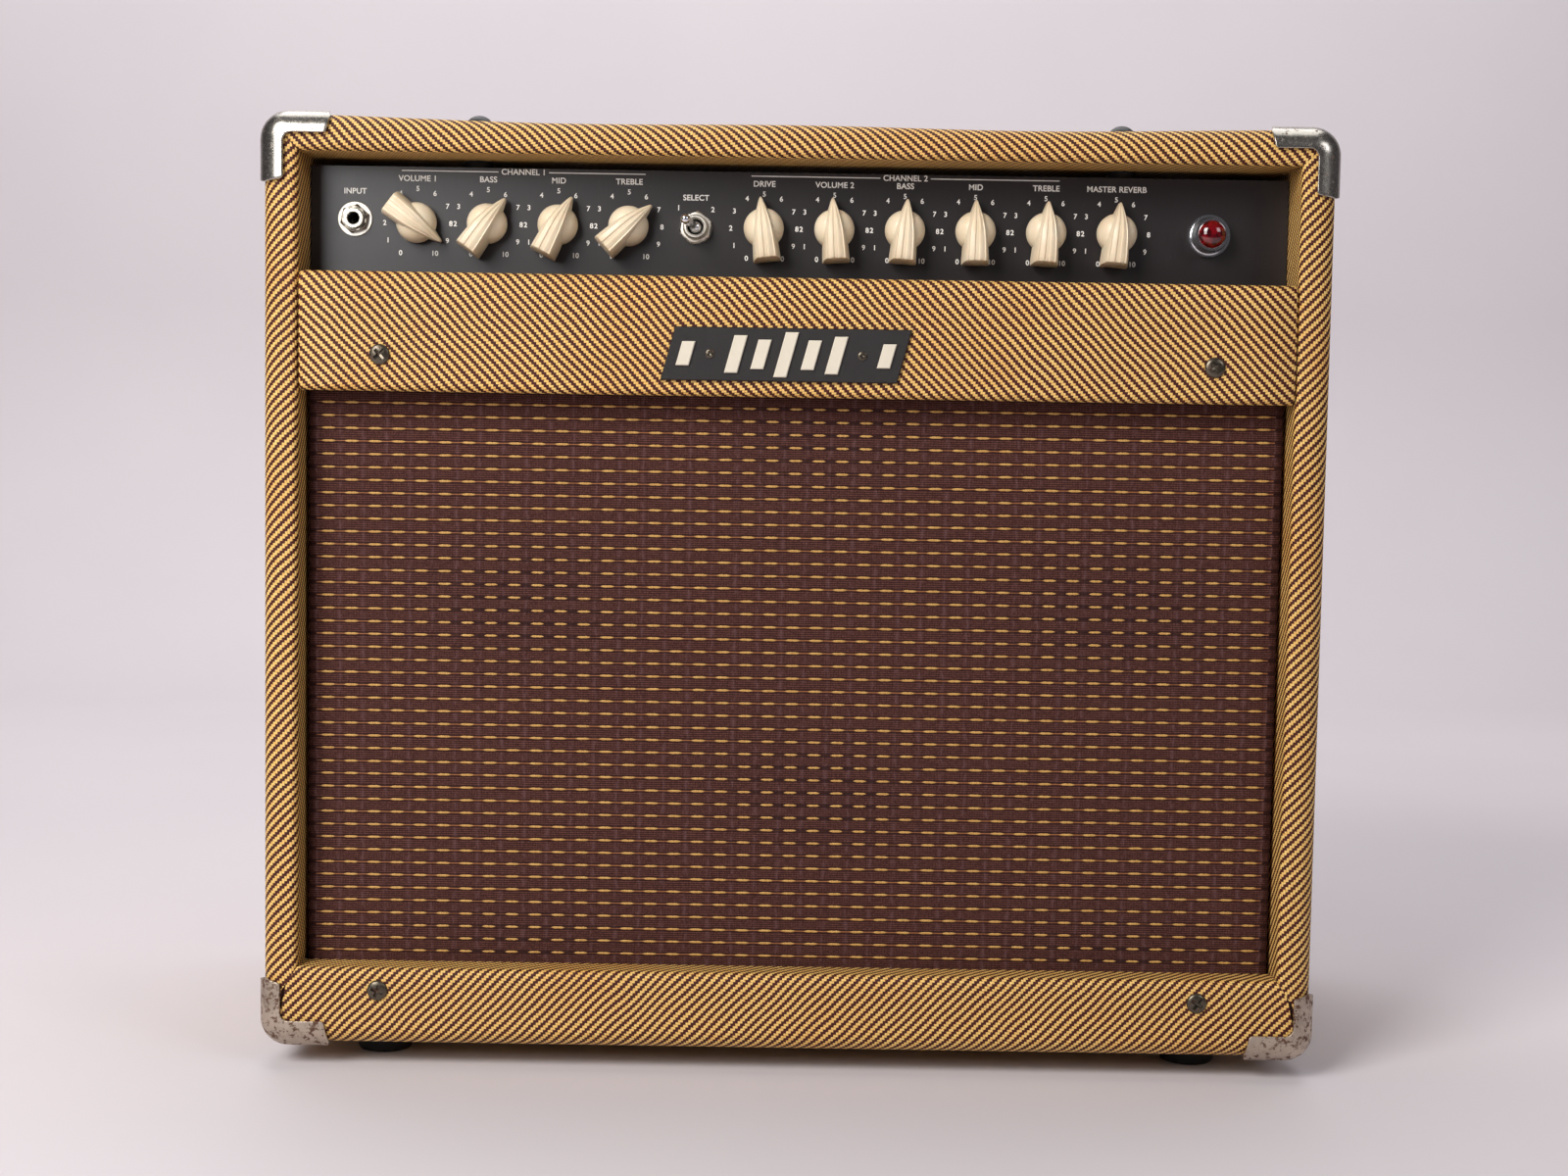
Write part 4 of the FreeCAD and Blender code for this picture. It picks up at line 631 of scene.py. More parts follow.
def make_grille():
    """The stretched cloth, and the gold threads woven through it."""
    rng = random.Random(5)
    y = CLOTH_LOW.y + CLOTH_BACK_OFF
    columns = 120
    levels = 180
    rows = []
    uv_rows = []
    for k in range(levels + 1):
        z = CLOTH_LOW.z + (CLOTH_HIGH.z - CLOTH_LOW.z) * k / levels
        row = []
        for i in range(columns + 1):
            x = CLOTH_LOW.x + (CLOTH_HIGH.x - CLOTH_LOW.x) * i / columns
            slack = 0.12 * math.sin(x * 0.021 + 1.3) * math.sin(z * 0.034)
            row.append((x, y + slack + 0.06 * math.sin(2 * math.pi * (z - GOLD_ROW_START) / GOLD_ROW), z))
        rows.append(row)
        uv_rows.append([(point[0], point[2] - GOLD_ROW_START) for point in row])
    cloth = Maker()
    cloth.grid(rows, uv_rows=uv_rows)
    weave = cloth.build("grille_cloth_woven", "cabinet", [grille_weave()], "grille_fabric", ["grille_cloth"])
    thickness = weave.modifiers.new("thickness", "SOLIDIFY")
    thickness.thickness = 0.0004
    thickness.offset = 0.0

    threads = Maker()
    around = 6
    stations_per_dash = 10
    first = math.ceil((RAIL_HIGH.z - GOLD_ROW_START - 1) / GOLD_ROW)
    last = math.floor((PANEL_LOW.z - GOLD_ROW_START + 1) / GOLD_ROW)
    dashes = int((CLOTH_HIGH.x - CLOTH_LOW.x) / GOLD_DASH)
    for row_number in range(first, last + 1):
        z = GOLD_ROW_START + row_number * GOLD_ROW
        tilt = rng.uniform(-0.0005, 0.0005)
        lines = []
        uv_lines = []
        for k in range(dashes * stations_per_dash + 1):
            x = -dashes * GOLD_DASH / 2 + GOLD_DASH * k / stations_per_dash
            from_centre = abs((x / GOLD_DASH + 0.5) % 1.0 - 0.5)
            swell = max(0.0, 1.0 - (max(0.0, from_centre - 0.10) / 0.20) ** 2)
            pinch = 0.84 + 0.16 * math.cos(2 * math.pi * (from_centre - 0.12) / 0.24)
            tall = 0.30 + 0.42 * swell * pinch
            proud = 0.20 + 0.28 * swell * pinch
            centre_z = z + tilt * x + rng.uniform(-0.05, 0.05)
            ring = []
            for a in range(around):
                angle = 2 * math.pi * a / around
                ring.append((x, y - 0.10 - proud * math.cos(angle), centre_z + tall * math.sin(angle)))
            lines.append(ring)
            uv_lines.append([(x, 1000.0 * a / around) for a in range(around)])
        threads.grid(lines, uv_rows=uv_lines, close_rows=True)
    gold = threads.build("grille_gold_threads", "cabinet", [gold_thread()], "grille_fabric", smooth=80.0)


# ---------------------------------------------------------------- corner protectors
SKIN = 2.3
FILLET = 4.0
END_ROUND = 1.0
LEG_CELLS = 16
STRIP_CELLS = 14


def protector_outline(a, b, strip_a, strip_b, leg, slant):
    """Shape the sharp L: round its inner corner and its leg ends, and slant the ends.

    The leg along the first axis is strip_b wide and the leg along the second one is strip_a wide.
    """
    if b <= strip_b and a > strip_a:
        along, across = leg_shape(a - strip_a, b / strip_b, strip_b, leg - strip_a, slant)
        return strip_a + along, across
    if a <= strip_a and b > strip_b:
        along, across = leg_shape(b - strip_b, a / strip_a, strip_a, leg - strip_b, slant)
        return across, strip_b + along
    share = (a / strip_a) * (b / strip_b)
    bulge = FILLET * (1 - math.sqrt(0.5)) * share ** 2
    return a + bulge, b + bulge


def leg_shape(along, share, strip, length, slant):
    """A point of one leg; share runs from 0 at its outer edge to 1 at its inner edge."""
    across = share * strip
    if along < FILLET:
        angle = math.radians(45 + 45 * along / FILLET)
        weight = share ** 2
        along += (FILLET - FILLET * math.cos(angle) - along) * weight
        across += FILLET * (1 - math.sin(angle)) * weight
    near_end = max(0.0, (along - length + 9) / 9)
    over = max(0.0, across - (strip - END_ROUND))
    rounded = END_ROUND - math.sqrt(max(END_ROUND ** 2 - over ** 2, 0.0))
    return along + near_end * (slant * (1 - share) - rounded), across


def rounded_corner(across_x, across_z, depth):
    """Lift a point of the sharp box corner onto the corner rounded like the boards."""
    rim = EDGE_RADIUS + SKIN
    corner = CORNER_RADIUS + SKIN
    inset = min(across_x, across_z)
    along = max(across_x, across_z) - inset
    if depth < rim and inset < rim:
        turn = math.radians(45 * (1 - inset / rim) if depth <= 0 else 45 + 45 * depth / rim)
        shift = rim * (1 - math.sin(turn)) - inset
        inset += shift
        along -= shift * min(1.0, along / 20.0)
        depth = rim * (1 - math.cos(turn))
    reach = corner - inset
    if reach <= 0 or along >= reach:
        low, high = inset, inset + along
    else:
        angle = math.radians(45 + 45 * along / reach)
        low = corner - reach * math.sin(angle)
        high = corner - reach * math.cos(angle)
    return (high, low, depth) if across_x > across_z else (low, high, depth)


def make_protectors(shiny, pitted):
    """Eight pressed corner pieces, each with three legs along the cabinet's edges."""
    for z_end, material, word, side_strip, flat_strip, leg, slant in (
            (1, shiny, "top", 12.2, 10.6, 33.8, 1.5), (0, pitted, "bottom", 10.8, 13.6, 33.4, 2.2)):
        maker = Maker()
        strips = {0: side_strip + 1.0, 1: 12.0, 2: flat_strip + 1.0}
        marks = {}
        for axis, strip in strips.items():
            marks[axis] = [strip * k / STRIP_CELLS for k in range(STRIP_CELLS + 1)]
            marks[axis] += [strip + (leg - strip) * k / LEG_CELLS for k in range(1, LEG_CELLS + 1)]
        for x_end in (0, 1):
            for y_end in (0, 1):
                origin = Vector((
                    RIGHT + SKIN if x_end else LEFT - SKIN,
                    BACK + SKIN if y_end else FRONT - SKIN,
                    TOP + SKIN if z_end else BOTTOM - SKIN,
                ))
                inward = Vector((-1 if x_end else 1, -1 if y_end else 1, -1 if z_end else 1))
                for first, second in ((0, 1), (0, 2), (1, 2)):
                    faces = []
                    for i in range(STRIP_CELLS + LEG_CELLS):
                        for k in range(STRIP_CELLS + LEG_CELLS):
                            if i < STRIP_CELLS or k < STRIP_CELLS:
                                faces.append([(i, k), (i + 1, k), (i + 1, k + 1), (i, k + 1)])
                    used = sorted({corner for face in faces for corner in face})
                    numbers = {corner: number for number, corner in enumerate(used)}
                    points = []
                    for i, k in used:
                        sharp = [0.0, 0.0, 0.0]
                        sharp[first], sharp[second] = protector_outline(
                            marks[first][i], marks[second][k], strips[first], strips[second], leg, slant)
                        x, z, y = rounded_corner(sharp[0], sharp[2], sharp[1])
                        points.append(origin + Vector((x * inward.x, y * inward.y, z * inward.z)))
                    maker.add(points, [[numbers[corner] for corner in face] for face in faces])
        piece = maker.build(f"corner_protectors_{word}", "cabinet", [material], "corner_nickel",
                            ["corner_protectors"] if z_end else (), smooth=75.0, merge=0.03)
        fix_outward(piece)
        shell = piece.modifiers.new("thickness", "SOLIDIFY")
        shell.thickness = 0.0012
        shell.offset = -1.0
        bevel = piece.modifiers.new("rolled_edge", "BEVEL")
        bevel.width = 0.0003
        bevel.segments = 2
        bevel.angle_limit = math.radians(60)


def fix_outward(piece):
    """Turn open shells so that their normals point away from the cabinet's middle."""
    middle = Vector((0.0, (FRONT + BACK) / 2, (BOTTOM + TOP) / 2)) * MM
    work = bmesh.new()
    work.from_mesh(piece.data)
    wrong = [face for face in work.faces if (face.calc_center_median() - middle).dot(face.normal) < 0]
    if len(wrong) > len(work.faces) / 2:
        bmesh.ops.reverse_faces(work, faces=work.faces)
    work.to_mesh(piece.data)
    work.free()


# ---------------------------------------------------------------- controls
def joint(name):
    """The record's joint of that name."""
    return [entry for entry in frame["record"]["behaviour"]["joints"] if entry["name"] == name][0]


KNOBS = [entry["name"][:-len("_turn")] for entry in frame["record"]["behaviour"]["joints"]
         if entry["name"].endswith("_turn")]
DIAL_END = 150.0
KNOB_RADIUS = 9.95
KNOB_TIP = 15.3
KNOB_TAIL = 16.7
TAIL_SLOPE = 1.5


def knob_ridge_rows():
    """Cross-sections of the pointer ridge from the tail to the tip, each a fluted trapezoid."""
    across = [(-1.0, 0.0), (-0.985, 0.25), (-0.88, 0.62), (-0.735, 0.905), (-0.64, 0.955), (-0.56, 0.94),
              (-0.47, 0.955), (-0.30, 1.0), (-0.20, 1.0), (-0.12, 0.965), (0.12, 0.965), (0.20, 1.0),
              (0.30, 1.0), (0.47, 0.955), (0.56, 0.94), (0.64, 0.955), (0.735, 0.905), (0.88, 0.62),
              (0.985, 0.25), (1.0, 0.0)]
    stations = [(-KNOB_TAIL, 6.45, 13.0), (0.3 - KNOB_TAIL, 6.75, 13.6), (0.8 - KNOB_TAIL, 6.85, 13.9),
                (-13.0, 6.75, 14.3), (-9.0, 6.5, 14.7), (-4.0, 6.1, 15.0), (0.0, 5.5, 14.7), (3.5, 4.7, 13.6),
                (6.5, 3.8, 12.0), (9.5, 2.75, 9.6), (12.0, 1.85, 7.2), (13.8, 1.2, 5.4),
                (KNOB_TIP - 0.4, 0.7, 4.2), (KNOB_TIP, 0.3, 3.5)]
    rows = []
    for y, half, height in stations:
        tail_share = max(0.0, (-9.0 - y) / (KNOB_TAIL - 9.0))
        rows.append([(side * half, y + TAIL_SLOPE * tail_share * level, level * height)
                     for side, level in across])
    return rows


def make_knobs(material, steel):
    """Ten pointer knobs, each turned to where its joint rests."""
    disc = [(0.0, 10.6), (2.5, 10.5), (4.6, 10.0), (6.3, 9.0), (7.7, 7.6), (8.8, 6.0), (9.5, 4.2),
            (9.85, 2.4), (KNOB_RADIUS, 1.0), (KNOB_RADIUS, 0.3), (9.7, 0.0), (4.0, 0.0)]
    for name in KNOBS:
        entry = joint(f"{name}_turn")
        low, high = node_box(f"knob_{name}")
        x = entry["pos_m"][0] / MM
        z = entry["pos_m"][2] / MM
        pointer = DIAL_END - entry["range_deg"][1]
        base_y = low.y + 15.0
        maker = Maker()
        matrix = facing("-Y", x, base_y, z, pointer)
        maker.lathe(disc, matrix, 48)
        rows = knob_ridge_rows()
        maker.grid(rows, matrix)
        for end in (0, -1):
            maker.add(rows[end], [list(range(len(rows[end])))], matrix)
        maker.lathe([(0.0, 0.2), (3.0, 0.2), (3.0, base_y - high.y), (0.0, base_y - high.y)],
                    facing("-Y", x, base_y, z), 20, slot=1)
        maker.build(f"pointer_knob_{name}", f"knob_{name}", [material, steel], "knob_ivory",
                    [f"knob_{name}"], smooth=32.0)


class Lettering:
    """Collects short texts and rules and makes one thin printed mesh of them."""

    def __init__(self, name, plate_y, direction):
        self.name = name
        self.plate_y = plate_y
        self.direction = direction
        self.maker = Maker()

    def text(self, words, x, z, size, spread=1.0):
        curve = bpy.data.curves.new("label", "FONT")
        curve.body = words
        curve.size = size
        curve.align_x = "CENTER"
        curve.align_y = "CENTER"
        curve.extrude = 0.02
        curve.offset = 0.07
        curve.space_character = 1.03
        holder = bpy.data.objects.new("label", curve)
        bpy.context.scene.collection.objects.link(holder)
        bpy.context.view_layer.update()
        mesh = bpy.data.meshes.new_from_object(holder.evaluated_get(bpy.context.evaluated_depsgraph_get()))
        points = [(v.co.x * spread, v.co.y, v.co.z) for v in mesh.vertices]
        faces = [list(polygon.vertices) for polygon in mesh.polygons]
        self.maker.add(points, faces, facing(self.direction, x, self.plate_y, z))
        bpy.data.objects.remove(holder)
        bpy.data.curves.remove(curve)
        bpy.data.meshes.remove(mesh)

    def rule(self, x_low, x_high, z, width=0.45):
        corners = [(x_low, -0.02, z - width / 2), (x_high, -0.02, z - width / 2),
                   (x_high, -0.02, z + width / 2), (x_low, -0.02, z + width / 2)]
        back = [(x, 0.02, zz) for x, _, zz in corners]
        offset = Matrix.Translation((0, self.plate_y, 0))
        faces = [[0, 1, 2, 3], [7, 6, 5, 4], [0, 4, 5, 1], [1, 5, 6, 2], [2, 6, 7, 3], [3, 7, 4, 0]]
        self.maker.add(corners + back, faces, offset)

    def build(self, material, slot_name):
        return self.maker.build(self.name, "cabinet", [material], slot_name, smooth=30.0)


LABELS = {"volume_1": "VOLUME 1", "bass_1": "BASS", "mid_1": "MID", "treble_1": "TREBLE", "drive": "DRIVE",
          "volume_2": "VOLUME 2", "bass_2": "BASS", "mid_2": "MID", "treble_2": "TREBLE",
          "reverb": "MASTER REVERB"}


def make_panel_print(paint):
    """Dial numbers, control names and channel rules on the control panel."""
    prints = Lettering("panel_lettering", PLATE_LOW.y - 0.03, "-Y")
    dial_radius = 17.0
    centre_z = joint("drive_turn")["pos_m"][2] / MM
    knob_x = {name: joint(f"{name}_turn")["pos_m"][0] / MM for name in KNOBS}
    for name in KNOBS:
        x = knob_x[name]
        for number in range(11):
            angle = math.radians(-DIAL_END + 30.0 * number)
            aside = max(-16.4, min(16.4, dial_radius * math.sin(angle)))
            prints.text(str(number), x + aside, centre_z + dial_radius * math.cos(angle), 3.5)
        prints.text(LABELS[name], x, centre_z + 22.0, 4.0)
    prints.text("INPUT", node_box("input_jack")[0].x + 9.0, centre_z + 15.4, 3.9)
    select_x = joint("select_throw")["pos_m"][0] / MM
    prints.text("SELECT", select_x, centre_z + 14.7, 3.9)
    prints.text("1", select_x - 8.6, centre_z + 9.6, 3.6)
    prints.text("2", select_x + 8.4, centre_z + 9.0, 3.6)
    rule_z = centre_z + 25.9
    for words, first, last, overhang in (("CHANNEL 1", "volume_1", "treble_1", 8.0),
                                         ("CHANNEL 2", "drive", "treble_2", 6.5)):
        low = knob_x[first] - overhang
        high = knob_x[last] + overhang
        middle = (low + high) / 2
        prints.rule(low, middle - 12.5, rule_z)
        prints.rule(middle + 12.5, high, rule_z)
        prints.text(words, middle, rule_z, 4.0)
    prints.build(paint, "badge_cream")


def make_rear_print(paint):
    """Plain words beside the rear jacks and switches."""
    wall_y = node_box("chassis_tray")[1].y
    prints = Lettering("rear_lettering", wall_y + 0.03, "+Y")
    centre_z = joint("power_throw")["pos_m"][2] / MM
    for words, x in (("POWER", -112), ("STANDBY", -76), ("FUSE", -150), ("MAINS", -195), ("SEND", 40),
                     ("RETURN", 75), ("FOOT SWITCH", 110), ("SPEAKER 1", 160), ("SPEAKER 2", 195)):
        prints.text(words, x, centre_z + 18.5, 4.0, 0.9)
    prints.build(paint, "badge_cream")


def make_jewel(material):
    """The domed ruby lens of the pilot lamp."""
    low, high = node_box("lamp_jewel")
    top = high.y - low.y
    rise = 4.6
    radius = 7.0
    profile = [(radius, 0.0)]
    for k in range(13):
        angle = math.radians(90 * k / 12)
        profile.append((radius * math.cos(angle), top - rise + rise * math.sin(angle)))
    maker = Maker()
    matrix = facing("-Y", (low.x + high.x) / 2, high.y, (low.z + high.z) / 2)
    maker.lathe(profile + [(0.0, 0.0)], matrix, 48)
    maker.build("domed_jewel", "cabinet", [material], "jewel_red", ["lamp_jewel"], smooth=60.0)


def screw_head(maker, matrix, radius, rise):
    """A pan head with a cross recess, built as one polar sheet."""
    rings = 22
    spokes = 72
    sheet = []
    for i in range(rings + 1):
        r = radius * i / rings
        ring = []
        for k in range(spokes):
            angle = 2 * math.pi * k / spokes
            x = r * math.cos(angle)
            y = r * math.sin(angle)
            height = rise * math.sqrt(max(0.0, 1 - (r / (radius * 1.02)) ** 2)) ** 0.7
            arm = min(abs(x), abs(y))
            reach = max(abs(x), abs(y))
            if arm < radius * 0.15 and reach < radius * 0.60:
                height -= rise * (1 - 0.5 * reach / (radius * 0.60))
            ring.append((x, y, height))
        sheet.append(ring)
    sheet.append([(radius * math.cos(2 * math.pi * k / spokes),
                   radius * math.sin(2 * math.pi * k / spokes), -0.2) for k in range(spokes)])
    maker.grid(sheet, matrix, close_rows=True)


def hex_nut(maker, matrix, flats, bore, base, height, slot=0):
    """A hexagon nut with its corners chamfered, standing on base."""
    corner = flats / math.sqrt(3)
    count = 48
    flat = flats / 2

    def outline(limit):
        points = []
        for k in range(count):
            angle = 2 * math.pi * k / count
            within = math.radians(((math.degrees(angle) + 30) % 60) - 30)
            points.append((min(flat / math.cos(within), limit), angle))
        return points

    levels = [(outline(corner), base), (outline(corner), base + height * 0.72),
              (outline(flat * 1.06), base + height * 0.9), (outline(flat * 0.97), base + height),
              ([(bore + 0.3, 2 * math.pi * k / count) for k in range(count)], base + height),
              ([(bore, 2 * math.pi * k / count) for k in range(count)], base + height - 0.3),
              ([(bore, 2 * math.pi * k / count) for k in range(count)], base)]
    rows = [[(r * math.cos(a), r * math.sin(a), z) for r, a in points] for points, z in levels]
    maker.grid(rows + rows[:1], matrix, slot, close_rows=True)


def make_panel_hardware(satin, gunmetal, nickel, inside):
    """The input jack's nut and washer, the toggle's nut and bushing, and the nuts under the knobs."""
    panel_y = PLATE_LOW.y
    jack_low, jack_high = node_box("input_jack")
    x = (jack_low.x + jack_high.x) / 2
    z = (jack_low.z + jack_high.z) / 2
    maker = Maker()
    matrix = facing("-Y", x, panel_y, z, 12.0)
    washer = [(5.0, 0.0), (8.3, 0.0), (8.6, 0.2), (8.6, 0.5), (8.3, 0.75), (5.0, 0.75), (5.0, 0.0)]
    maker.lathe(washer, matrix, 48)
    hex_nut(maker, matrix, 12.7, 4.85, 0.75, 2.4, 1)
    front = panel_y - jack_low.y + 0.15
    maker.lathe([(4.85, 0.0), (4.85, front - 0.6), (4.4, front), (3.3, front), (3.0, front - 0.4),
                 (3.0, front - 2.5)], matrix, 40)
    maker.lathe([(3.0, front - 2.5), (3.0, -6.0)], matrix, 40, slot=2)
    for name in KNOBS:
        entry = joint(f"{name}_turn")["pos_m"]
        hex_nut(maker, facing("-Y", entry[0] / MM, panel_y, entry[2] / MM), 12.7, 4.8, 0.1, 2.2, 1)
    maker.build("panel_nuts_turned", "cabinet", [satin, gunmetal, inside], "fastener_steel",
                ["panel_nuts"], smooth=35.0)

    entry = joint("select_throw")["pos_m"]
    maker = Maker()
    matrix = facing("-Y", entry[0] / MM, panel_y, entry[2] / MM, 8.0)
    maker.lathe([(6.0, 0.0), (8.1, 0.0), (8.3, 0.2), (8.1, 0.5), (6.0, 0.5), (6.0, 0.0)], matrix, 48)
    hex_nut(maker, matrix, 14.3, 6.0, 0.5, 2.4, 2)
    maker.lathe([(5.9, 0.0), (5.9, 7.3), (5.4, 8.0), (4.6, 8.0), (4.0, 7.2), (3.9, 1.5)], matrix, 40, slot=2)
    maker.lathe([(0.0, 1.2), (4.0, 1.2), (4.0, 1.0), (0.0, 1.0)], matrix, 24, slot=1)
    _, case_high = node_box("select_switch")
    back = facing("-Y", entry[0] / MM, case_high.y, entry[2] / MM)
    bevelled_plate(maker, lambda inset: slanted_frame(16.0, 28.0, 0.0, inset), 20.0, 0.0, 0.6, back, 1)
    maker.build("select_switch_turned", "cabinet", [nickel, inside, satin], "toggle_chrome",
                ["select_switch"], smooth=35.0)


SCREW_RADIUS = 5.0
BADGE_SCREW_REACH = 37.0


def make_screws(dark):
    """Domed Phillips screws on the front boards and the badge."""
    low, high = node_box("front_screws")
    plate_low, plate_high = node_box("badge_plate")
    rng = random.Random(3)
    maker = Maker()
    for x in (low.x + SCREW_RADIUS, high.x - SCREW_RADIUS):
        for z in (low.z + SCREW_RADIUS, high.z - SCREW_RADIUS):
            screw_head(maker, facing("-Y", x, FRONT, z, rng.uniform(0, 90)), SCREW_RADIUS, 2.1)
            maker.lathe([(2.1, -0.1), (2.1, -28.0), (0.0, -29.0)], facing("-Y", x, FRONT, z), 16)
    middle_x = (plate_low.x + plate_high.x) / 2
    middle_z = (plate_low.z + plate_high.z) / 2
    for side in (-1, 1):
        matrix = facing("-Y", middle_x + BADGE_SCREW_REACH * side, plate_low.y + 0.3, middle_z,
                        rng.uniform(0, 90))
        screw_head(maker, matrix, 2.3, 0.95)
    maker.build("phillips_screws", "cabinet", [dark], "dark_screw", ["front_screws"], smooth=38.0)


# ---------------------------------------------------------------- badge, handle, feet
def slanted_frame(width, height, lean, inset):
    """The four corners of a leaning bar, inset from its edge."""
    half_w = width / 2 - inset
    half_h = height / 2 - inset
    return [(-half_w + lean * -half_h, -half_h), (half_w + lean * -half_h, -half_h),
            (half_w + lean * half_h, half_h), (-half_w + lean * half_h, half_h)]


def bevelled_plate(maker, outline_of, thickness, base, chamfer, matrix, slot):
    """A flat plate with a chamfered upper edge; outline_of(inset) gives its outline."""
    rows = [[(x, y, base) for x, y in outline_of(0.0)],
            [(x, y, base + thickness - chamfer) for x, y in outline_of(0.0)],
            [(x, y, base + thickness) for x, y in outline_of(chamfer)]]
    maker.grid(rows, matrix, slot, close_rows=True)
    count = len(rows[0])
    maker.add(rows[-1], [list(range(count))], matrix, slot)
    maker.add(rows[0], [list(range(count))], matrix, slot)


BADGE_SLANT = 7.0
BADGE_BAR_PITCH = 12.2
BADGE_BAR_WIDTH = 6.4
BADGE_SINK = 0.3
BADGE_BARS = ((-4, 0.45), (-2, 0.7), (-1, 0.55), (0, 0.84), (1, 0.55), (2, 0.7), (4, 0.45))


def make_badge(pebbled, cream):
    """A leaning dark plate with seven raised cream bars; it carries no lettering."""
    low, high = node_box("badge_plate")
    motif_low, _ = node_box("badge_motif")
    x = (low.x + high.x) / 2
    z = (low.z + high.z) / 2
    width = high.x - low.x
    height = high.z - low.z
    lean = BADGE_SLANT / height
    matrix = facing("-Y", x, high.y, z)
    thickness = high.y - low.y
    proud = low.y - motif_low.y
    plate = Maker()
    body_width = width - BADGE_SLANT
    bevelled_plate(plate, lambda inset: slanted_frame(body_width, height, lean, inset),
                   thickness - BADGE_SINK, 0.0, 0.5, matrix, 0)
    plate.build("badge_plate_pebbled", "cabinet", [pebbled], "badge_black", ["badge_plate"])
    motif = Maker()
    base = thickness - BADGE_SINK
    for step, share in BADGE_BARS:
        bar = Matrix.Translation((BADGE_BAR_PITCH * step, 0, 0))
        bevelled_plate(motif, lambda inset, share=share: slanted_frame(
            BADGE_BAR_WIDTH, height * share, lean, inset), proud + BADGE_SINK, base, 0.45, matrix @ bar, 0)
    motif.build("badge_motif_cream", "cabinet", [cream], "badge_cream", ["badge_motif"])


def make_handle(leather, thread, cap_paint):
    """A stitched strap handle, arched between two black end caps."""
    low, high = node_box("handle_strap")
    middle_y = (low.y + high.y) / 2
    half_width = (high.y - low.y) / 2
    reach = high.x
    seat = low.z + 2.25
    crest = high.z - 5.25
    strap = Maker()
    rows = []
    spine = []
    for k in range(61):
        x = -reach + 2 * reach * k / 60
        rise = min(1.0, max(0.0, (reach - 28 - abs(x)) / 26))
        spine.append((x, seat + (crest - seat) * rise * rise * (3 - 2 * rise)))
    for x, z in spine:
        section = []
        for a in range(24):
            angle = 2 * math.pi * a / 24
            across = math.copysign(abs(math.cos(angle)) ** 0.35, math.cos(angle)) * half_width
            tall = math.copysign(abs(math.sin(angle)) ** 0.6, math.sin(angle)) * 2.25
            section.append((x, middle_y + across, z + tall))
        rows.append(section)
    strap.grid(rows, close_rows=True)
    for end in (0, -1):
        strap.add(rows[end], [list(range(24))])
    for side in (-1, 1):
        for k in range(1, len(spine) - 1):
            x, z = spine[k]
            lift = spine[k + 1][1] - spine[k - 1][1]
            turn = math.atan2(lift, spine[k + 1][0] - spine[k - 1][0])
            matrix = (Matrix.Translation((x, middle_y + side * (half_width - 3.2), z + 2.15))
                      @ Matrix.Rotation(-turn, 4, "Y") @ Matrix.Rotation(math.pi / 2, 4, "Y"))
            strap.lathe([(0.0, -1.3), (0.28, -1.0), (0.36, 0.0), (0.28, 1.0), (0.0, 1.3)], matrix, 8, slot=1)
    strap.build("strap_leather", "cabinet", [leather, thread], "strap_leather", ["handle_strap"], smooth=60.0)

    caps = Maker()
    cap_low, cap_high = node_box("handle_end_caps")
    tall = cap_high.z - cap_low.z
    for side in (-1, 1):
        rows = []
        for shrink, level in ((0.0, 0.0), (0.0, tall - 3.4), (0.6, tall - 1.7), (1.9, tall - 0.5),
                              (4.0, tall)):
            row = []
            for a in range(48):
                angle = 2 * math.pi * a / 48
                reach_x = 17.0 - shrink
                reach_y = (cap_high.y - cap_low.y) / 2 - shrink
                row.append((side * (cap_high.x - 17.0)
                            + math.copysign(abs(math.cos(angle)) ** 0.45, math.cos(angle)) * reach_x,
                            middle_y + math.copysign(abs(math.sin(angle)) ** 0.45, math.sin(angle)) * reach_y,
                            cap_low.z + level))
            rows.append(row)
        caps.grid(rows, close_rows=True)
        caps.add(rows[-1], [list(range(48))])
        caps.add(rows[0], [list(range(48))])
    caps.build("handle_caps_pressed", "cabinet", [cap_paint], "cap_nickel", ["handle_end_caps"])


def make_feet(rubber):
    """Four moulded rubber feet with a rounded lower edge and a screw recess."""
    low, high = node_box("rubber_feet")
    radius = 16.0
    tall = high.z - low.z
    profile = [(6.0, 6.0), (6.0, 0.9), (6.9, 0.0), (11.8, 0.0), (13.2, 0.5), (13.8, 1.8), (15.2, tall - 2.2),
               (15.9, tall - 1.0), (15.9, tall), (0.0, tall)]
    feet = Maker()
    for x in (low.x + radius, high.x - radius):
        for y in (low.y + radius, high.y - radius):
            feet.lathe([(0.0, 6.0)] + profile, Matrix.Translation((x, y, low.z)), 40)
    feet.build("moulded_feet", "cabinet", [rubber], "foot_rubber", ["rubber_feet"])


def make_valve_plates(plate_metal, mica):
    """The plates and mica discs inside the valves."""
    maker = Maker()
    for node, count, width, length in (("power_tubes", 4, 7.0, 40.0), ("preamp_tubes", 4, 5.5, 24.0)):
        low, high = node_box(node)
        radius = (high.y - low.y) / 2
        pitch = (high.x - low.x - 2 * radius) / (count - 1)
        y = (low.y + high.y) / 2
        top = high.z - 20.0
        for k in range(count):
            matrix = Matrix.Translation((low.x + radius + pitch * k, y, top))
            flat = Matrix.Diagonal((1.0, 0.62, 1.0, 1.0))
            maker.lathe([(0.0, 0.0), (width, 0.0), (width, -length), (0.0, -length)], matrix @ flat, 16)
            for level in (0.8, -length - 0.8):
                disc = matrix @ Matrix.Translation((0, 0, level))
                rim = width + 1.4
                maker.lathe([(0.0, 0.4), (rim, 0.4), (rim, -0.4), (0.0, -0.4)], disc, 24, slot=1)
    maker.build("valve_plates", "cabinet", [plate_metal, mica], "transformer_black", smooth=40.0)


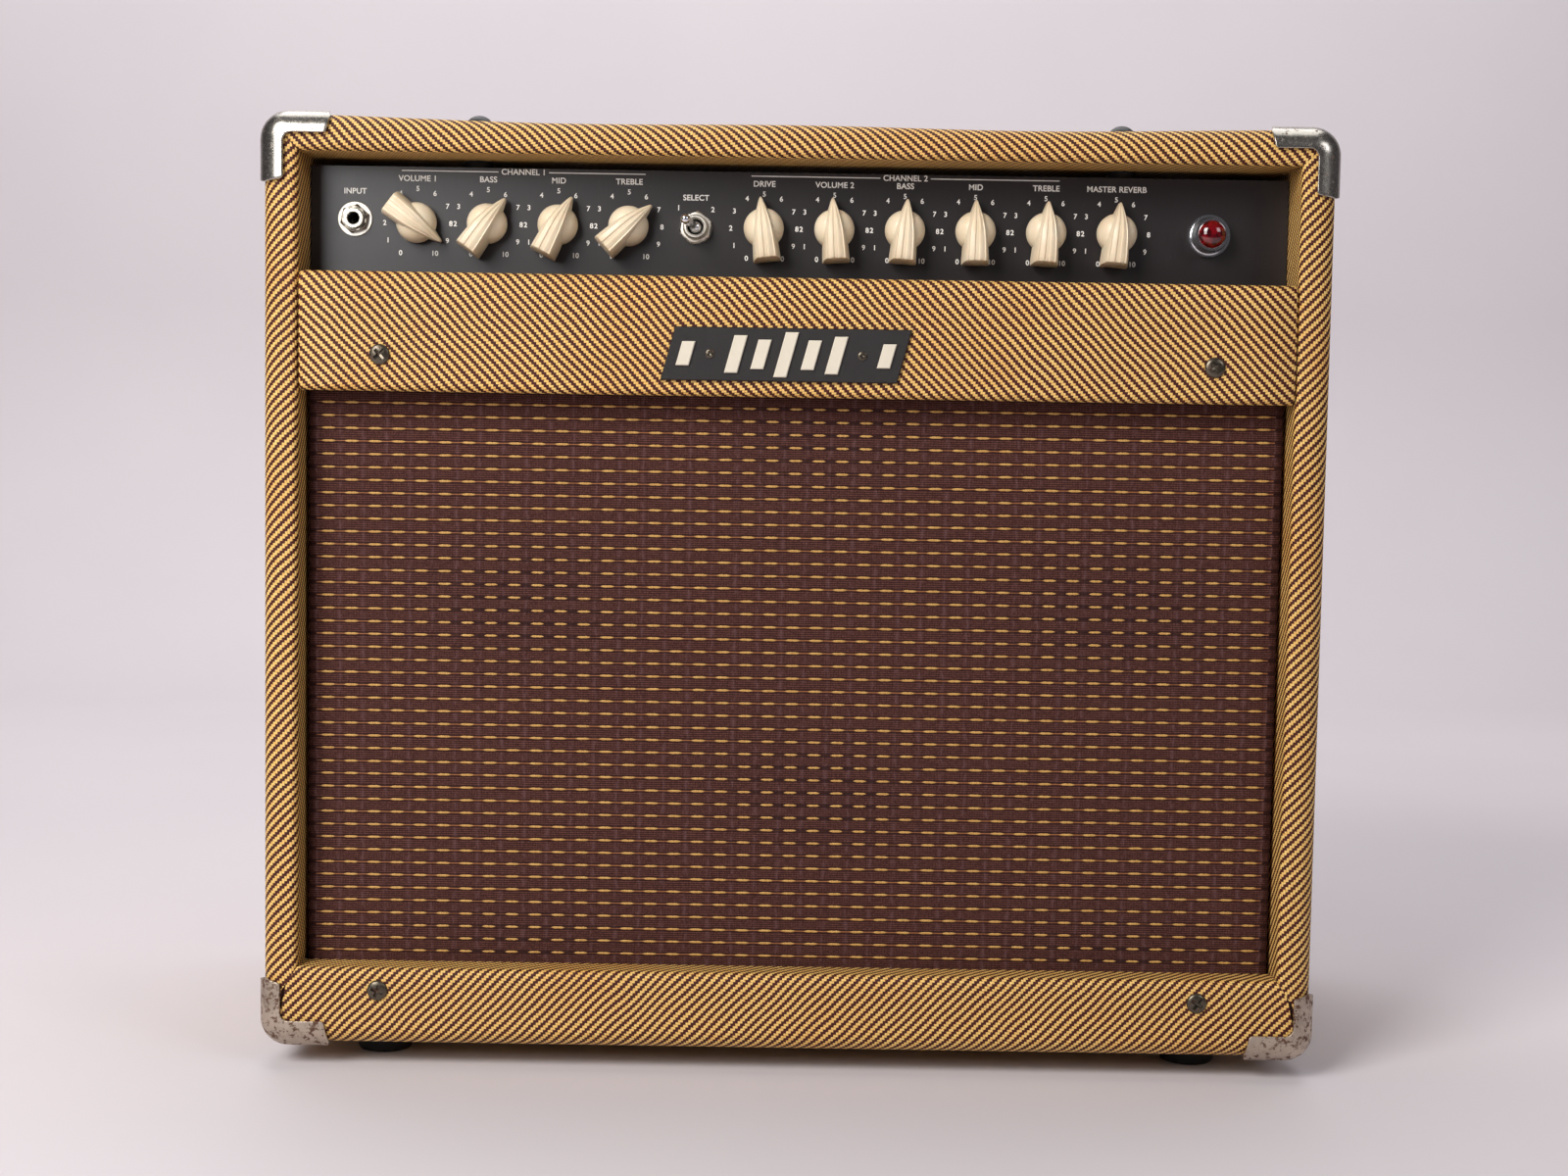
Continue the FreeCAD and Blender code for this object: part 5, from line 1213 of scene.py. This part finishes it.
# ---------------------------------------------------------------- CAD nodes that keep their shape
def paint_nodes(material, *names):
    """Give CAD nodes a better material."""
    for name in names:
        for slot in frame["nodes"][name].material_slots:
            slot.material = material


def dress_frame():
    """Materials for the CAD nodes that stay visible."""
    zinc = smooth_metal("zinc_plate", linear(196, 196, 198), 0.38, 60.0)
    satin = smooth_metal("satin_nickel", linear(244, 238, 226), 0.42)
    gunmetal = smooth_metal("nut_steel", linear(150, 142, 130), 0.22)
    nickel = smooth_metal("bright_nickel", linear(226, 220, 208), 0.16)
    chrome = smooth_metal("bright_chrome", linear(236, 236, 238), 0.16)
    dark_screw = worn_nickel("oxidised_screw", 0.5, linear(104, 96, 84), 0.34)
    paint_nodes(plywood(), "baffle_board", "cabinet_cleats")
    paint_nodes(control_paint(), "control_panel")
    paint_nodes(zinc, "chassis_tray", "reverb_tank", "potentiometers", "speaker_bolts")
    paint_nodes(plain("basket_enamel", linear(44, 44, 46), 0.45, bump=0.2), "speaker_basket",
                "speaker_arms")
    paint_nodes(plain("ferrite", linear(52, 52, 54), 0.6, bump=0.3), "speaker_magnet")
    paint_nodes(plain("cone_pulp", linear(40, 37, 34), 0.9, 0.3, 300.0, 0.5), "speaker_cone",
                "speaker_suspension")
    paint_nodes(plain("core_enamel", linear(30, 30, 32), 0.4, bump=0.2), "power_transformer",
                "output_transformer")
    paint_nodes(plain("board_mask", linear(42, 92, 58), 0.4), "circuit_board")
    paint_nodes(plain("inlet_black", linear(26, 26, 28), 0.45), "mains_inlet", "fuse_holder")
    paint_nodes(plain("spacer_black", linear(28, 28, 28), 0.8), "chassis_spacers")
    paint_nodes(plain("socket_glaze", linear(222, 216, 200), 0.3), "tube_sockets")
    paint_nodes(clear_glass(), "power_tubes", "preamp_tubes")
    paint_nodes(plain("lamp_socket_grey", linear(150, 146, 140), 0.5), "lamp_socket")
    make_screws(dark_screw)
    paint_nodes(plain("black_oxide", linear(30, 29, 30), 0.35, bump=0.1), "cabinet_screws", "chassis_bolts")
    paint_nodes(nickel, "input_jack", "rear_jacks")
    make_panel_hardware(satin, gunmetal, nickel, plain("switch_case", linear(30, 30, 32), 0.6))
    paint_nodes(chrome, "lamp_bezel", "rear_switches", "select_lever", "power_lever", "standby_lever")
    return zinc, nickel


# ---------------------------------------------------------------- studio
def make_studio():
    """Pale floor and wall in one sweep, and soft lights."""
    maker = Maker()
    wall = 1900.0
    cove = 500.0
    profile = [(-1500.0, 0.0), (0.0, 0.0)] + arc((wall - cove, cove), cove, -90, 0, 16) + [(wall, 3200.0)]
    rows = [[(x, y, z) for x in (-4200.0, 4200.0)] for y, z in profile]
    maker.grid(rows)
    mesh = bpy.data.meshes.new("backdrop")
    mesh.from_pydata([point * MM for point in maker.points], [], maker.faces)
    for polygon in mesh.polygons:
        polygon.use_smooth = True
    backdrop = bpy.data.objects.new("backdrop", mesh)
    bpy.context.scene.collection.objects.link(backdrop)
    g = Graph("backdrop_paint", Roughness=0.85)
    g.colour(g.mix(g.noise(g.place(), 3.0, 2.0), linear(222, 216, 218), linear(215, 208, 213)))
    mesh.materials.append(g.material)

    def area(name, place, target, size, power, colour=(1.0, 1.0, 1.0)):
        lamp = bpy.data.lights.new(name, "AREA")
        lamp.shape = "RECTANGLE"
        lamp.size, lamp.size_y = size
        lamp.energy = power
        lamp.color = colour
        holder = bpy.data.objects.new(name, lamp)
        holder.location = place
        aim = Vector(target) - Vector(place)
        holder.rotation_euler = aim.to_track_quat("-Z", "Y").to_euler()
        bpy.context.scene.collection.objects.link(holder)

    area("key_left", (-1.25, -1.75, 1.75), (0.0, 0.0, 0.25), (1.1, 0.9), 43.0, (1.0, 0.985, 0.965))
    area("strip_left", (-0.74, -1.25, 0.73), (-0.2, 0.0, 0.35), (0.55, 0.5), 7.0)
    area("fill_right", (1.7, -1.7, 1.5), (0.0, 0.0, 0.25), (0.9, 0.9), 10.0, (0.96, 0.965, 1.0))
    area("top_wash", (-0.1, 0.5, 2.6), (0.0, 0.7, 0.0), (2.6, 1.6), 25.0)
    area("wall_wash", (-0.15, 0.95, 2.4), (-0.05, 1.9, 1.3), (3.0, 0.7), 23.0, (0.985, 0.975, 1.0))

    world = bpy.data.worlds.new("studio")
    world.use_nodes = True
    world.node_tree.nodes["Background"].inputs[0].default_value = (0.90, 0.88, 0.95, 1.0)
    world.node_tree.nodes["Background"].inputs[1].default_value = 0.07
    bpy.context.scene.world = world
    bpy.context.scene.view_settings.view_transform = "Standard"


CAMERA_PLACE = (-5.7, -1063.1, 315.8)
CAMERA_YAW = 0.053
CAMERA_PITCH = 3.913
CAMERA_ROLL = 0.925


def make_camera():
    """A 50 mm view of the front, a little below the middle of the cabinet and almost square on."""
    yaw = math.radians(CAMERA_YAW)
    pitch = math.radians(CAMERA_PITCH)
    roll = math.radians(CAMERA_ROLL)
    forward = Vector((math.sin(yaw) * math.cos(pitch), math.cos(yaw) * math.cos(pitch), -math.sin(pitch)))
    right = Vector((math.cos(yaw), -math.sin(yaw), 0.0))
    up = right.cross(forward)
    right, up = right * math.cos(roll) + up * math.sin(roll), up * math.cos(roll) - right * math.sin(roll)
    camera = bpy.data.cameras.new("camera")
    camera.lens = 50.0
    camera.sensor_width = 36.0
    camera.clip_end = 50.0
    holder = bpy.data.objects.new("camera", camera)
    place = Vector((CAMERA_PLACE[0], CAMERA_PLACE[1] + FRONT, CAMERA_PLACE[2])) * MM
    rotation = Matrix((right, up, -forward)).transposed().to_4x4()
    holder.matrix_world = Matrix.Translation(place) @ rotation
    bpy.context.scene.collection.objects.link(holder)
    bpy.context.scene.camera = holder


def main():
    """Build everything round the frame."""
    make_camera()
    make_studio()
    lean_down = tweed("tweed_lean_down", 1.0)
    lean_up = tweed("tweed_lean_up", -1.0)
    stained = tweed("tweed_stained", 1.0, stain=0.8)
    make_cabinet(lean_down, lean_up)
    plank("tweed_upper_panel", "upper_front_panel", 3.5, stained)
    plank("tweed_back_upper", "back_panel_upper", 2.0, lean_down)
    plank("tweed_back_lower", "back_panel_lower", 2.0, lean_down)
    make_grille()
    make_protectors(worn_nickel("nickel_top", 0.15, linear(196, 190, 180), 0.26),
                    worn_nickel("nickel_bottom", 0.95, linear(198, 182, 166), 0.46))
    zinc, nickel = dress_frame()
    make_knobs(ivory(), zinc)
    paint = plain("panel_print", linear(250, 247, 240), 0.45, bump=0.05)
    make_panel_print(paint)
    make_rear_print(plain("rear_print", linear(34, 34, 36), 0.5, bump=0.05))
    make_jewel(jewel_glass())
    make_badge(plain("badge_pebble", linear(24, 15, 16), 0.5, 0.4, 500.0, 0.9),
               plain("badge_cream_enamel", linear(232, 222, 202), 0.35, bump=0.05))
    make_handle(plain("brown_leather", linear(104, 62, 36), 0.5, 0.4, 90.0, 0.5),
                plain("cream_stitch", linear(214, 190, 146), 0.7),
                plain("cap_black", linear(26, 25, 26), 0.35, bump=0.2))
    make_feet(plain("black_rubber", linear(30, 29, 29), 0.75, 0.3, 200.0, 0.3))
    make_valve_plates(plain("plate_grey", linear(84, 84, 88), 0.5, Metallic=0.6),
                      plain("mica", linear(206, 196, 170), 0.4))


main()
